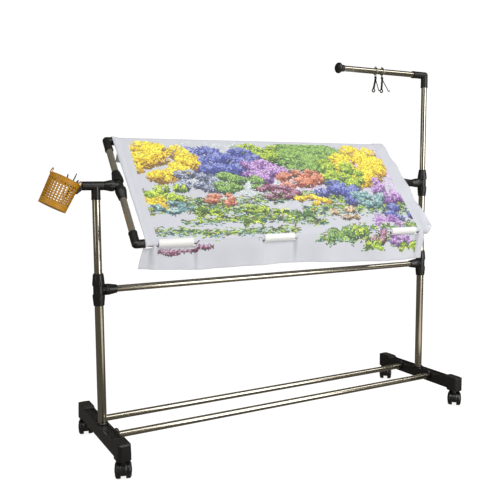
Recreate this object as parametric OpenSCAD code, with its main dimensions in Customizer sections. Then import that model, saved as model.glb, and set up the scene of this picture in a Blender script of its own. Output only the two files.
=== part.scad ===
// Embroidery floor stand: two uprights on wheeled feet, a tilting frame that carries a cloth,
// and an accessory arm. The origin is on the floor midway between the uprights, with X along
// the bars to the right, Y to the rear and Z up. Sizes are in millimetres.

/* [Stand] */
// Distance between the axes of the two uprights
span = 1190; // [1150:5:1300]
// Height of the tilt axis above the floor
pivot_h = 772; // [740:1:850]
// Height of the middle crossbar above the floor
mid_bar_h = 482; // [440:1:500]
// Height of the two low crossbars above the floor
low_bar_h = 84; // [82:0.5:86]
// Distance between the two low crossbars
low_bar_gap = 146; // [110:1:200]
// Outer diameter of bars, arms and post
bar_d = 19; // [17:0.5:20]
// Wall of bars, arms and post
bar_wall = 1; // [0.8:0.1:1.6]

/* [Uprights] */
// Outer diameter of the lower tubes
lower_d = 25; // [24.8:0.1:26]
// Wall of the lower tubes
lower_wall = 1.2; // [1:0.05:1.3]
// Outer diameter of the upper tubes
upper_d = 22; // [21.6:0.1:22]
// Wall of the upper tubes
upper_wall = 1; // [0.8:0.1:1.1]
// Height of the lower end of the upper tubes
upper_start_h = 270; // [240:1:300]
// Length of the slide guide's spigot
guide_len = 15; // [10:1:25]
// Height of the slide guide's sliding ring
guide_ring = 8; // [6:1:12]

/* [Tube fittings] */
// Wall of the sleeves of tees and elbows
sleeve_wall = 2.9; // [2.5:0.1:3.2]
// Wall of the threaded sockets under the nuts
socket_wall = 1.6; // [1.3:0.1:2]
// Length of a nut beyond its socket
nut_tip = 12; // [8:1:14]
// How far a nut's wide end stands out from its tube
nut_base = 6.5; // [5.5:0.1:7]
// How far an upright nut's wide end stands out from its tube
upright_nut_base = 4.7; // [4:0.1:6]
// How far a nut's narrow end stands out from its tube
nut_end = 2.6; // [2:0.1:3.2]
// Flutes round a nut
nut_flutes = 8; // [6:1:12]
// Half length of the middle tees
mid_tee_half = 44; // [40:1:50]
// Half length of the right top tee
top_tee_half = 47; // [42:1:52]
// Half length of the arm tees
arm_tee_half = 48; // [40:1:52]
// Length of a tee's branch with its nut
branch_len = 52; // [46:1:58]
// Half length of a tee's bare waist
waist = 12; // [10:1:14]
// Length of an elbow's leg along a bar
elbow_bar_leg = 25; // [22:1:30]
// Length of an elbow's leg along an arm
elbow_arm_leg = 38; // [28:1:42]
// Width of the band at an elbow's end
elbow_band = 5; // [3:0.5:8]

/* [Left top tee] */
// Reach of the sleeve to the outer side
plain_out = 36; // [32:1:42]
// Reach of the sleeve to the inner side
plain_in = 21; // [18:1:24]
// Reach of the sleeve down the upright
plain_down = 38.5; // [34:0.5:44]

/* [Feet] */
// Length of a foot
foot_len = 406; // [380:2:440]
// Width of a foot at its underside
foot_w = 40; // [38:1:46]
// Width of a foot at its top
foot_top_w = 34; // [32:1:37]
// Height of the middle's underside above the floor
foot_under = 64; // [62:0.5:65]
// Height of the middle's top above the floor
foot_top = 97; // [97:0.5:100]
// Height of an end block's underside above the floor
block_under = 58; // [57:0.5:60]
// Height of an end block's top above the floor
block_top = 103; // [102:0.5:106]
// Length of an end block
block_len = 58; // [50:1:64]
// Length of the low part under an end block
arch_len = 38; // [34:1:44]
// Corner cut of the feet
foot_corner = 13; // [10:0.5:15]
// Wall of the feet
foot_wall = 2.6; // [2:0.1:3.2]
// Depth of the trough in a foot's top
trough_deep = 1.6; // [1:0.1:2]
// Width of the trough in a foot's top
trough_w = 20; // [16:1:24]
// Depth of the low bars in the feet
low_bar_in = 28; // [24:1:30]
// Height of an upright's lower end
upright_start = 76; // [75:0.5:80]
// Height of the threaded plugs in the uprights
plug_len = 26; // [20:1:40]
// Diameter of the upright bolts
bolt_d = 8; // [6:0.5:10]
// Diameter of the low bar screws
screw_d = 4; // [3:0.5:5]

/* [Casters] */
// Distance from the middle of a foot to a caster's swivel axis
caster_at = 182; // [178:1:185]
// Diameter of the wheels
wheel_d = 46; // [42:1:46]
// Overall width of a wheel pair
pair_w = 43; // [40:1:46]
// Inner gap between the two wheels
pair_gap = 14; // [13.4:0.1:16]
// Distance from the swivel axis to the axle
trail = 16; // [14:0.5:18]
// Gap between a wheel and its hood
hood_gap = 1; // [0.8:0.1:1.5]
// Thickness of the hood
hood_wall = 4; // [3:0.5:4.5]
// Width of the hood's top
hood_w = 34; // [30:1:36]
// Diameter of the axle
axle_d = 6; // [5:0.5:8]
// Diameter of the stem
stem_d = 10; // [9:0.5:10.4]
// Length of the stem inside the foot
stem_in = 34; // [26:1:36]
// Outer diameter of the stem's socket
caster_socket_d = 15; // [14:0.5:16]

/* [Tilting frame] */
// Lean of the frame's top to the rear, in degrees
tilt = 40; // [20:1:85]
// Distance of the left arm from the left upright
left_arm_in = 67; // [64:1:80]
// Distance of the right arm from the right upright
right_arm_in = 112; // [100:1:120]
// Distance from the tilt axis to the top bar
arm_up = 168; // [150:1:200]
// Distance from the tilt axis to the bottom bar
arm_down = 201; // [170:1:201]

/* [Cloth] */
// Thickness of the cloth's solid
cloth_t = 1.2; // [0.8:0.1:1.3]
// Width of the strip of the panel that rises over the right fittings
cloth_rise = 13; // [10:1:18]
// Reach of the panel's left edge over the elbows, at the bottom bar and at the top bar
lap_low = 3; // [1:0.5:4]
lap_top = 12; // [8:0.5:12]
// Reach of the panel's lower right corner past the right arm's axis, and its bulge
past_low = 15; // [8:1:18]
corner_out = 10; // [4:1:12]
// Distance that the panel's right edge stops short of the right arm's axis at the top bar
cloth_short = 9; // [8:1:11]
// Length of the front flap below the bottom bar at its left end
flap_left = 68; // [50:1:80]
// Length of the front flap below the bottom bar at its right end
flap_right = 95; // [80:1:110]
// Reach of the front flap past the left arm's elbow
flap_over = 19; // [5:1:24]
// Depth of the front flap's folds
flap_fold = 7; // [4:0.5:9]
// Length of the back flap below the top bar
back_flap = 62; // [45:1:75]
// Length of a snap clip
clip_len = 102; // [90:1:110]
// Wall of a snap clip
clip_wall = 1.5; // [1.2:0.1:1.6]

/* [Accessory arm] */
// Height of the accessory bar above the floor
arm_h = 1149; // [1130:1:1200]
// Distance from the post to the middle of the end knob
knob_at = 372; // [340:1:420]
// Height of the post's lower end below the tilt axis
post_below = 40; // [30:1:45]
// Length of the post elbow's leg along the bar
post_elbow_leg = 55; // [45:1:65]
// Length of the post elbow's leg along the post
post_elbow_drop = 42; // [38:1:50]
// Diameter of the end knob
knob_d = 35; // [30:1:38]
// Width of the end knob
knob_w = 22; // [20:1:28]
// Distance from the post to the first clip ring
ring_a_at = 219; // [214:1:240]
// Distance from the post to the second clip ring
ring_b_at = 191; // [180:1:196]
// Wire of the clips
wire_d = 3; // [2:0.1:3.2]
// Bead under a clip ring
bead_d = 5.6; // [5:0.1:7]
// Knuckle of a clip
knuckle_d = 6.6; // [5.6:0.2:7]
// Drop of a clip's legs
clip_drop = 38; // [30:1:42]
// Radius of the eye at the foot of a hanging clip
eye_r = 5; // [3:0.5:6]

/* [Basket] */
// Diameter of the basket's top
basket_top_d = 84; // [82:1:90]
// Diameter of the basket's bottom
basket_low_d = 77; // [74:1:82]
// Height of the basket
basket_h = 84; // [80:1:88]
// Lean of the basket to the right, in degrees
basket_tilt = 27; // [20:1:30]
// Wall of the basket
basket_wall = 2; // [1.6:0.1:2.4]
// Gap between the basket's rim and the tee
basket_out = 9; // [8:0.5:12]
// Rows of holes round the basket
hole_rows = 8; // [6:1:9]
// Holes in each row, an even number
hole_cols = 28; // [20:2:30]
// Width of a hole
hole_w = 5.5; // [4:0.1:6]
// Height of a hole
hole_h = 4.6; // [4:0.1:5]
// Height of the solid band under the holes
band_low = 15; // [12:1:18]
// Height of the solid band over the holes
band_high = 12; // [10:1:14]
// Radius of the basket's handles
handle_r = 15; // [12:0.5:17]
// Thickness of the bracket's plate
plate_t = 3; // [2:0.1:3.5]
// Width of the bracket's plate
plate_w = 16; // [12:1:20]

/* [Fits] */
// Radial clearance of a running or seated fit
fit = 0.05; // [0.02:0.01:0.1]
// Gap between faces that meet
seat = 0.3; // [0.2:0.05:0.5]

/* [Hidden] */
$fn = 64;

plastic = "#3a3a3c";
metal = "#b9b5ad";
cloth_colour = "#e4e2ee";
side = span / 2;
bar_r = bar_d / 2;
eps = 0.01;
// Inner diameters of the tubes
lower_in = lower_d - 2 * lower_wall;
upper_in = upper_d - 2 * upper_wall;
bar_in = bar_d - 2 * bar_wall;
// Inner ends of the branch nuts, clear of the wide ends of the nuts beside them
mid_branch_in = lower_d / 2 + upright_nut_base + 2 * seat;
branch_in = max(bar_d / 2 + nut_base, upper_d / 2 + upright_nut_base) + 2 * seat;
// The lower tubes end this far below the tops of the middle tees
lower_end = mid_bar_h + mid_tee_half - nut_tip - 2;
// The upper tubes end this far below the tilt axis
tee_stop = bar_r + 1;
elbow_d = bar_d + 2 * sleeve_wall;
elbow_r = elbow_d / 2;
elbow_waist = elbow_d - 1;
// The heights of the ends of tubes that meet in a corner
corner_stop = bar_r + 1;
arm_left_x = -side + left_arm_in;
arm_right_x = side - right_arm_in;
branch_left = left_arm_in - plain_in - seat;
// Profile of the feet
foot_half = foot_len / 2;
headings = [72, 44, 75, 50];

// A straight tube along Z, from height a to height b
module tube(d, wall, a, b) {
    translate([0, 0, a]) difference() {
        cylinder(d = d, h = b - a);
        translate([0, 0, -1]) cylinder(d = d - 2 * wall, h = b - a + 2);
    }
}

// Turns what is drawn along Z to run along X
module along_x(x = 0) translate([x, 0, 0]) rotate([0, 90, 0]) children();

// A straight bar along X, from a to b
module bar(a, b) along_x(a) tube(bar_d, bar_wall, 0, b - a);

// One fluted nut on a socket for a tube of diameter d, from height a to height b
module nut(d, a, b, base = nut_base) {
    big = d / 2 + base;
    small = d / 2 + nut_end;
    socket = d + 2 * socket_wall;
    difference() {
        translate([0, 0, a]) rotate_extrude()
            polygon([[0, 0], [big - 1, 0], [big, 1], [big, (b - a) * 0.3],
                [small, b - a - 1], [small - 1, b - a], [0, b - a]]);
        translate([0, 0, a - 1]) cylinder(r = socket / 2 + fit, h = b - a - nut_tip + 1 + seat);
        cylinder(r = d / 2 + fit, h = b + 1);
        for (i = [0 : nut_flutes - 1])
            rotate(i * 360 / nut_flutes) translate([big + 3.2, 0, a - 1])
                cylinder(r = 4, h = (b - a) * 0.75);
    }
}

// The socket under a nut, a solid cylinder to be bored later
module socket(d, b) cylinder(d = d + 2 * socket_wall, h = b - nut_tip);

// Body of a tee: up and down legs along Z and a branch along X, bare as far as side_in
module tee_body(up_d, up_len, down_d, down_len, side_len, side_in) {
    union() {
        socket(up_d, up_len);
        mirror([0, 0, 1]) socket(down_d, down_len);
        translate([0, 0, -waist + seat])
            cylinder(d = max(up_d, down_d) + 2 * socket_wall + 2, h = 2 * (waist - seat));
        along_x() socket(bar_d, side_len);
        along_x() cylinder(d = bar_d + 2 * socket_wall + 2, h = side_in - seat);
    }
}

// An elbow in its corner: one leg along X, the other along Z
module elbow(bar_leg, arm_leg) {
    difference() {
        union() {
            sphere(d = elbow_waist);
            cylinder(d = elbow_waist, h = arm_leg);
            translate([0, 0, arm_leg - elbow_band]) cylinder(d = elbow_d, h = elbow_band);
            along_x() cylinder(d = elbow_waist, h = bar_leg);
            along_x(bar_leg - elbow_band) cylinder(d = elbow_d, h = elbow_band);
        }
        translate([0, 0, corner_stop - seat]) cylinder(r = bar_r + fit, h = arm_leg);
        along_x(corner_stop - seat) cylinder(r = bar_r + fit, h = bar_leg);
    }
}

// Places its children in the tilting frame: X along the tilt axis, Z up along the arms
module in_frame(x = 0, z = 0) {
    translate([0, 0, pivot_h]) rotate([-tilt, 0, 0]) translate([x, 0, z]) children();
}

// Outline of a foot's section across its width, drawn in by w
module foot_section(w) {
    rotate([90, 0, 0]) linear_extrude(foot_len + 2, center = true)
        polygon([[-foot_w / 2 + w, block_under - 1], [foot_w / 2 - w, block_under - 1],
            [foot_top_w / 2 - w, block_top + 1], [-foot_top_w / 2 + w, block_top + 1]]);
}

// Outline of a foot seen from above, drawn in by w
module foot_plan(w) {
    x = foot_w / 2 - w;
    y = foot_half - w;
    c = foot_corner;
    translate([0, 0, block_under - 1]) linear_extrude(block_top - block_under + 2)
        union() {
            square([2 * x, 2 * (y - c)], center = true);
            square([2 * (x - c), 2 * y], center = true);
            for (i = [-1, 1], j = [-1, 1]) translate([i * (x - c), j * (y - c)]) circle(c);
        }
}

// Outline of a foot seen from its side, with its top lowered by w and its underside by under
module foot_side(w, under) {
    y = foot_half;
    b = foot_half - block_len + w;
    a = foot_half - arch_len;
    slope = block_top - foot_top;
    rotate([90, 0, 90]) linear_extrude(foot_w + 2, center = true)
        polygon([[-y, block_under - under], [-a, block_under - under],
            [-a, foot_under - under], [a, foot_under - under], [a, block_under - under],
            [y, block_under - under], [y, block_top - w - 4], [y - 4, block_top - w],
            [b, block_top - w], [b - slope, foot_top - w], [slope - b, foot_top - w],
            [-b, block_top - w], [4 - y, block_top - w], [-y, block_top - w - 4]]);
}

// What stays solid inside a foot: the seats of upright, casters and bars, and the ribs
module foot_core() {
    cylinder(d = lower_d + 2 * sleeve_wall + 1, h = block_top);
    for (s = [-1, 1]) {
        translate([0, s * caster_at, 0]) cylinder(d = caster_socket_d + 2 * foot_wall, h = block_top);
        translate([0, s * low_bar_gap / 2, low_bar_h]) along_x(-foot_w / 2)
            cylinder(d = bar_d + 2 * foot_wall, h = foot_w);
        for (y = [40, 108, 140])
            translate([-foot_w / 2, s * y - 1, 0]) cube([foot_w, 2, block_top]);
    }
}

// A foot, with the low bars entering from its +X face
module foot() {
    color(plastic) difference() {
        intersection() {
            foot_section(0);
            foot_plan(0);
            foot_side(0, 0);
        }
        difference() {
            intersection() {
                foot_section(foot_wall);
                foot_plan(foot_wall);
                foot_side(foot_wall + trough_deep, 5);
            }
            foot_core();
        }
        translate([-trough_w / 2, block_len + 8 - foot_half, foot_top - trough_deep])
            cube([trough_w, foot_len - 2 * block_len - 16, trough_deep + 1]);
        translate([0, 0, upright_start - seat]) cylinder(r = lower_d / 2 + fit, h = foot_top);
        cylinder(r = bolt_d / 2 + fit, h = upright_start);
        cylinder(d = 2 * bolt_d, h = upright_start - 5);
        for (s = [-1, 1]) {
            translate([0, s * low_bar_gap / 2, low_bar_h]) along_x(foot_w / 2 - low_bar_in - seat)
                cylinder(r = bar_r + fit, h = foot_w);
            translate([0, s * low_bar_gap / 2, 0]) cylinder(r = screw_d / 2 + fit, h = low_bar_h);
            translate([0, s * caster_at, 0])
                cylinder(r = caster_socket_d / 2 + fit, h = block_under + stem_in + 4 + seat);
        }
    }
}

module foot_left() translate([-side, 0, 0]) foot();
module foot_right() translate([side, 0, 0]) mirror([1, 0, 0]) foot();

// A lower tube stands in its foot and ends in the middle tee
module lower_tube(x) {
    color(metal) translate([x, 0, 0]) tube(lower_d, lower_wall, upright_start, lower_end);
}
module lower_tube_left() lower_tube(-side);
module lower_tube_right() lower_tube(side);

// A low bar reaches low_bar_in into both feet and has a hole for its screw at each end
module low_bar(y) {
    reach = side - foot_w / 2 + low_bar_in;
    color(metal) translate([0, y, low_bar_h]) difference() {
        bar(-reach, reach);
        for (x = [-side, side]) translate([x, 0, -bar_r - 1]) cylinder(r = screw_d / 2 + fit, h = bar_r + 1);
    }
}
module low_bar_front() low_bar(-low_bar_gap / 2);
module low_bar_rear() low_bar(low_bar_gap / 2);

// Distance from an upright's axis to the end of the bar in its middle tee
mid_stop = lower_d / 2 + 1;
module mid_bar() color(metal) translate([0, 0, mid_bar_h]) bar(mid_stop - side, side - mid_stop);

module mid_tee() {
    color(plastic) difference() {
        tee_body(lower_d, mid_tee_half, lower_d, mid_tee_half, branch_len, mid_branch_in);
        cylinder(r = lower_d / 2 + fit, h = 3 * mid_tee_half, center = true);
        along_x() cylinder(r = bar_r + fit, h = branch_len + 1);
    }
}
module mid_tee_left() translate([-side, 0, mid_bar_h]) mid_tee();
module mid_tee_right() translate([side, 0, mid_bar_h]) mirror([1, 0, 0]) mid_tee();

// The three nuts of a middle tee, on both uprights
module mid_tee_nuts() {
    color(plastic) for (s = [0, 1]) mirror([s, 0, 0]) translate([-side, 0, mid_bar_h]) {
        nut(lower_d, waist, mid_tee_half, upright_nut_base);
        mirror([0, 0, 1]) nut(lower_d, waist, mid_tee_half, upright_nut_base);
        along_x() nut(bar_d, mid_branch_in, branch_len);
    }
}

// A collet fills the gap between upper tube and nut, with a thin flange on the nut's end
module height_collets() {
    top = mid_bar_h + mid_tee_half;
    color(plastic) for (s = [-1, 1]) translate([s * side, 0, 0]) difference() {
        union() {
            translate([0, 0, lower_end + seat]) cylinder(d = lower_d, h = top - lower_end);
            translate([0, 0, top + seat]) cylinder(d = lower_d + 2 * nut_end - 2, h = 2);
        }
        cylinder(r = upper_d / 2 + fit, h = top + 10);
    }
}

module caster_sockets() {
    color("silver") for (x = [-side, side], y = [-caster_at, caster_at])
        translate([x, y, block_under]) difference() {
            cylinder(d = caster_socket_d, h = stem_in + 4);
            translate([0, 0, -1]) cylinder(r = stem_d / 2 + fit, h = stem_in + 1 + seat);
        }
}

// A bolt from below and the threaded plug that it holds in the upright
module upright_fixings() {
    head = upright_start - 5;
    color("silver") for (x = [-side, side]) translate([x, 0, 0]) {
        translate([0, 0, head - 4]) cylinder(d = 2 * bolt_d - 2, h = 4 - seat);
        translate([0, 0, head - 4]) cylinder(d = bolt_d, h = plug_len + 6);
        difference() {
            translate([0, 0, upright_start]) cylinder(r = lower_in / 2 - fit, h = plug_len);
            cylinder(r = bolt_d / 2 + fit, h = upright_start + plug_len + 1);
        }
    }
}

module low_bar_screws() {
    seat_z = low_bar_h - bar_r - foot_wall;
    color("silver") for (x = [-side, side], y = [-1, 1])
        translate([x, y * low_bar_gap / 2, 0]) {
            translate([0, 0, seat_z - seat - 2]) cylinder(d = 2 * screw_d, h = 2);
            translate([0, 0, seat_z - seat - 2]) cylinder(d = screw_d, h = foot_wall + bar_r - 2);
        }
}

// An upper tube slides in the lower tube and ends in the top tee
module upper_tube(x) {
    color(metal) translate([x, 0, 0]) tube(upper_d, upper_wall, upper_start_h, pivot_h - tee_stop);
}
module upper_tube_left() upper_tube(-side);
module upper_tube_right() upper_tube(side);

module slide_guides() {
    color("ivory") for (x = [-side, side]) translate([x, 0, upper_start_h]) {
        translate([0, 0, -guide_ring]) cylinder(r = lower_in / 2 - fit, h = guide_ring);
        translate([0, 0, -eps]) cylinder(r = upper_in / 2 - fit, h = guide_len);
    }
}

// The plain left tee: a sleeve along the tilt axis and a sleeve down the upright
module top_tee_left() {
    color(plastic) translate([-side, 0, pivot_h]) difference() {
        union() {
            along_x(-plain_out) cylinder(d = elbow_d, h = plain_out + plain_in);
            translate([0, 0, -plain_down]) cylinder(d = upper_d + 2 * sleeve_wall - 2.8, h = plain_down);
            translate([0, 0, -plain_down]) cylinder(d = upper_d + 2 * sleeve_wall - 2, h = elbow_band);
        }
        along_x(-plain_out - 1) cylinder(r = bar_r + fit, h = plain_out + plain_in + 2);
        translate([0, 0, -plain_down - 1])
            cylinder(r = upper_d / 2 + fit, h = plain_down + 1 - tee_stop + seat);
    }
}

// The right tee takes the upper tube from below, the post from above and the pivot stub
module top_tee_right() {
    color(plastic) translate([side, 0, pivot_h]) mirror([1, 0, 0]) difference() {
        tee_body(bar_d, top_tee_half, upper_d, top_tee_half, top_branch, branch_in);
        translate([0, 0, -tee_stop]) cylinder(r = bar_r + fit, h = 2 * top_tee_half);
        translate([0, 0, -top_tee_half])
            cylinder(r = upper_d / 2 + fit, h = top_tee_half - tee_stop + seat);
        along_x() cylinder(r = bar_r + fit, h = branch_len + 2);
    }
}
// Lengths of the branches of the right arm tee and the right top tee, which meet end to end
branch_right = right_arm_in - branch_len - 2;
top_branch = right_arm_in - branch_right - seat;
module top_tee_nuts() {
    color(plastic) translate([side, 0, pivot_h]) {
        nut(bar_d, waist, top_tee_half);
        mirror([0, 0, 1]) nut(upper_d, waist, top_tee_half, upright_nut_base);
        rotate([0, -90, 0]) nut(bar_d, branch_in, top_branch);
    }
}

// An arm runs from the bottom elbow through its tee to the top elbow
module arm(x) {
    color(metal) in_frame(x) tube(bar_d, bar_wall, corner_stop - arm_down, arm_up - corner_stop);
}
module arm_left() arm(arm_left_x);
module arm_right() arm(arm_right_x);

// An arm tee with its branch along X
module arm_tee(side_len) {
    color(plastic) difference() {
        tee_body(bar_d, arm_tee_half, bar_d, arm_tee_half, side_len, branch_in);
        cylinder(r = bar_r + fit, h = 3 * arm_tee_half, center = true);
        along_x() cylinder(r = bar_r + fit, h = side_len + 1);
    }
}
module arm_tee_left() in_frame(arm_left_x) mirror([1, 0, 0]) arm_tee(branch_left);
module arm_tee_right() in_frame(arm_right_x) arm_tee(branch_right);

// The three nuts of an arm tee, on both arms
module arm_tee_nuts() {
    color(plastic) for (s = [0, 1]) in_frame(s == 0 ? arm_left_x : arm_right_x) {
        nut(bar_d, waist, arm_tee_half);
        mirror([0, 0, 1]) nut(bar_d, waist, arm_tee_half);
        mirror([1 - s, 0, 0]) along_x() nut(bar_d, branch_in, s == 0 ? branch_left : branch_right);
    }
}

module frame_elbows(z, down) {
    color(plastic) for (s = [0, 1]) in_frame(s == 0 ? arm_left_x : arm_right_x, z)
        mirror([s, 0, 0]) mirror([0, 0, down]) elbow(elbow_bar_leg, elbow_arm_leg);
}
module top_elbows() frame_elbows(arm_up, 1);
module bottom_elbows() frame_elbows(-arm_down, 0);

module frame_bar(z) {
    color(metal) in_frame(0, z) bar(arm_left_x + corner_stop, arm_right_x - corner_stop);
}
module top_bar() frame_bar(arm_up);
module bottom_bar() frame_bar(-arm_down);

// The stubs turn in the top tees and are held in the arm tees
module pivot_stubs() {
    color(metal) in_frame() {
        bar(-side - plain_in + 4, arm_left_x - corner_stop);
        bar(arm_right_x + corner_stop, side - corner_stop);
    }
}

// Radii of the cloth round a bar, and of a snap clip over the cloth
cloth_in = bar_r + seat;
cloth_out = cloth_in + cloth_t;
clip_in = cloth_out + seat;
clip_out = clip_in + clip_wall;
flap_r = max(clip_out, elbow_r) + seat;
// Left edge of the panel, its right edge, and the start of its rise over the right fittings
panel_left = arm_left_x + elbow_bar_leg + 2 * seat;
panel_right = arm_right_x - cloth_short;
rise_top = arm_right_x - elbow_bar_leg - 1;
rise_at = rise_top - cloth_rise;

// Share of the way from a to b, between 0 and 1, with soft ends
function ease(x, a, b) = let (t = min(1, max(0, (x - a) / (b - a)))) t * t * (3 - 2 * t);

// Closed sheet between two grids of points, each a list of columns read upwards
module sheet(front, back) {
    nu = len(front);
    nv = len(front[0]);
    n = nu * nv;
    points = concat([for (c = front) each c], [for (c = back) each c]);
    skin = [for (i = [0 : nu - 2], j = [0 : nv - 2])
        let (a = i * nv + j, b = a + 1, c = b + nv, d = a + nv)
        each [[a, b, c], [a, c, d], [n + a, n + c, n + b], [n + a, n + d, n + c]]];
    ends = [for (j = [0 : nv - 2]) let (l = j, r = (nu - 1) * nv + j)
        each [[l + 1, l, n + l], [l + 1, n + l, n + l + 1],
            [r, r + 1, n + r + 1], [r, n + r + 1, n + r]]];
    hems = [for (i = [0 : nu - 2]) let (l = i * nv, t = l + nv - 1)
        each [[l, l + nv, n + l + nv], [l, n + l + nv, n + l],
            [t + nv, t, n + t], [t + nv, n + t, n + t + nv]]];
    polyhedron(points, concat(skin, ends, hems));
}

// Distance of the panel's back from the plane of the bars, at x across and z along the arms
function panel_off(x, z) = cloth_in
    + (elbow_r + seat - cloth_in) * max(ease(x, rise_at, rise_top), ease(-x, -panel_left - 10, -panel_left - 1))
    + corner_out * ease(x, rise_top, arm_right_x) * (1 - ease(z + arm_down, 0, 130))
    + (bar_r + nut_base - elbow_r + seat) * ease(x, rise_top, panel_right)
        * (1 - ease(abs(z), arm_tee_half + 5, arm_tee_half + 45));

// One point of a column [x at the bottom bar, x at the top bar] of the panel, w out from its back, in the frame's own Y and Z: row v is under the
// bottom bar from 0 to 1, along the arms from 1 to 2 and over the top bar from 2 to 3
function panel_point(c, v, w) =
    let (t = min(1, max(0, v - 1)), x = c[0] + (c[1] - c[0]) * t)
    let (r = panel_off(x, t * (arm_up + arm_down) - arm_down) + w)
    v < 1 ? let (a = 80 * (1 - v)) [x, -r * cos(a), -arm_down - r * sin(a)]
    : v > 2 ? let (a = 175 * (v - 2)) [x, -r * cos(a), arm_up + r * sin(a)]
    : [x, -r, -arm_down + (v - 1) * (arm_up + arm_down)];

module cloth_panel() {
    inner = concat([for (d = [1, 4, 7, 10]) panel_left + d],
        [for (i = [1 : 9]) panel_left + 10 + (rise_at - panel_left - 10) * i / 9],
        [for (i = [1 : 4]) rise_at + (rise_top - rise_at) * i / 4]);
    xs = concat([[panel_left - lap_low, panel_left - lap_top]], [for (x = inner) [x, x]],
        [for (i = [1 : 4]) [rise_top + (arm_right_x + past_low - rise_top) * i / 4,
            rise_top + (panel_right - rise_top) * i / 4]]);
    vs = concat([for (i = [0 : 3]) i / 4], [for (i = [0 : 14]) 1 + i / 14],
        [for (i = [1 : 7]) 2 + i / 7]);
    color(cloth_colour) in_frame() sheet([for (x = xs) [for (v = vs) panel_point(x, v, cloth_t)]],
        [for (x = xs) [for (v = vs) panel_point(x, v, 0)]]);
}

// A C-shaped clip along X, open from angle a to angle b, where 0 is the front and 90 the top
module snap_clip(a, b) {
    reach = 3 * clip_out;
    along_x() linear_extrude(clip_len) difference() {
        circle(clip_out);
        circle(clip_in);
        // With the clip's axis on X, the outline's x points down and its y to the rear
        polygon([[0, 0], [-reach * sin(a), -reach * cos(a)],
            [-reach * sin((a + b) / 2), -reach * cos((a + b) / 2)], [-reach * sin(b), -reach * cos(b)]]);
    }
}
// Left ends of the snap clips, from the panel's left edge
clip_starts = [36, 365, rise_at - clip_len - 1 - panel_left];
module cloth_clips() {
    color("white") for (x = clip_starts) {
        in_frame(panel_left + x, -arm_down) snap_clip(15, 135);
        in_frame(panel_left + x, arm_up) snap_clip(-50, 95);
    }
}

// Axes of the two bars at rest
low_axis = [-arm_down * sin(tilt), pivot_h - arm_down * cos(tilt)];
top_axis = [arm_up * sin(tilt), pivot_h + arm_up * cos(tilt)];

// A hanging flap from xa to xb under the axis [y, z], with lengths la and lb at its ends
module flap(xa, xb, axis, la, lb, nu, nv) {
    function spot(i, j, w) =
        let (u = i / (nu - 1), v = 1 - j / (nv - 1), x = xa + (xb - xa) * u,
            length = la + (lb - la) * u + 4 * sin(u * 540) - flap_r,
            fold = flap_fold * v * (0.7 * sin(u * 1500 + 40 * v) + 0.3 * sin(u * 3300 + 80)))
        [x, axis[0] + fold + w, axis[1] - flap_r - length * v];
    sheet([for (i = [0 : nu - 1]) [for (j = [0 : nv - 1]) spot(i, j, -cloth_t / 2)]],
        [for (i = [0 : nu - 1]) [for (j = [0 : nv - 1]) spot(i, j, cloth_t / 2)]]);
}
module cloth_front_flap() {
    color(cloth_colour) flap(panel_left - flap_over, rise_top - 2, low_axis, flap_left, flap_right, 49, 6);
}
module cloth_back_flap() {
    color(cloth_colour) flap(panel_left + 2, rise_at - 1, top_axis, back_flap, back_flap, 41, 5);
}

// The post slides in the right top tee and carries the elbow
module post_tube() {
    color(metal) translate([side, 0, 0]) tube(bar_d, bar_wall, pivot_h - post_below, arm_h - corner_stop);
}
module post_elbow() {
    color(plastic) translate([side, 0, arm_h]) mirror([1, 0, 0]) mirror([0, 0, 1])
        elbow(post_elbow_leg, post_elbow_drop);
}
knob_x = side - knob_at;
bar_start = knob_x + knob_w / 2 + 8;
module accessory_bar() color(metal) translate([0, 0, arm_h]) bar(bar_start, side - corner_stop);

module end_knob() {
    color(plastic) translate([0, 0, arm_h]) {
        along_x(knob_x) rotate_extrude()
            polygon([for (a = [0 : 10 : 180]) [knob_d / 2 * sin(a), -knob_w / 2 * cos(a)]]);
        along_x(knob_x + knob_w / 2 - 3) cylinder(d = bar_d + 3, h = 11 - seat);
        along_x(knob_x) cylinder(r = bar_in / 2 - fit, h = knob_w / 2 + 26);
    }
}

wire_r = wire_d / 2;
ring_r = bar_r + 2 * fit + wire_r;
bead_z = arm_h - ring_r - wire_r - bead_d / 2 + 1;
knuckle_z = bead_z - bead_d / 2 - seat - knuckle_d / 2;

// A wire ring round the accessory bar with a bead under it
module clip_ring(x) {
    color("gainsboro") translate([side - x, 0, 0]) {
        translate([0, 0, arm_h]) along_x() rotate_extrude() translate([ring_r, 0]) circle(wire_r);
        translate([0, 0, bead_z]) sphere(d = bead_d);
    }
}

// A wire leg in the XZ plane from the knuckle, leaning out by dx over the clip's drop, at y
module clip_leg(dx, y) {
    translate([0, y, knuckle_z]) {
        rotate([90, 0, 0]) cylinder(d = knuckle_d, h = knuckle_d / 2 - 2 * fit, center = true);
        rotate([0, 180 - atan(dx / clip_drop), 0]) cylinder(r = wire_r, h = norm([dx, clip_drop]));
    }
}

// The fixed leg with its eye and the pin on which the other leg turns
module clip_body(x, dx) {
    color("gainsboro") translate([side - x, 0, 0]) {
        difference() {
            clip_leg(dx, -knuckle_d / 4);
            translate([0, 0, knuckle_z]) rotate([90, 0, 0]) cylinder(r = 1, h = knuckle_d, center = true);
        }
        translate([0, 0, knuckle_z]) rotate([90, 0, 0]) cylinder(r = 1, h = knuckle_d + 1, center = true);
        translate([dx, -knuckle_d / 4, knuckle_z - clip_drop - eye_r]) rotate([90, 0, 0])
            rotate_extrude() translate([eye_r, 0]) circle(wire_r);
    }
}

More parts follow.
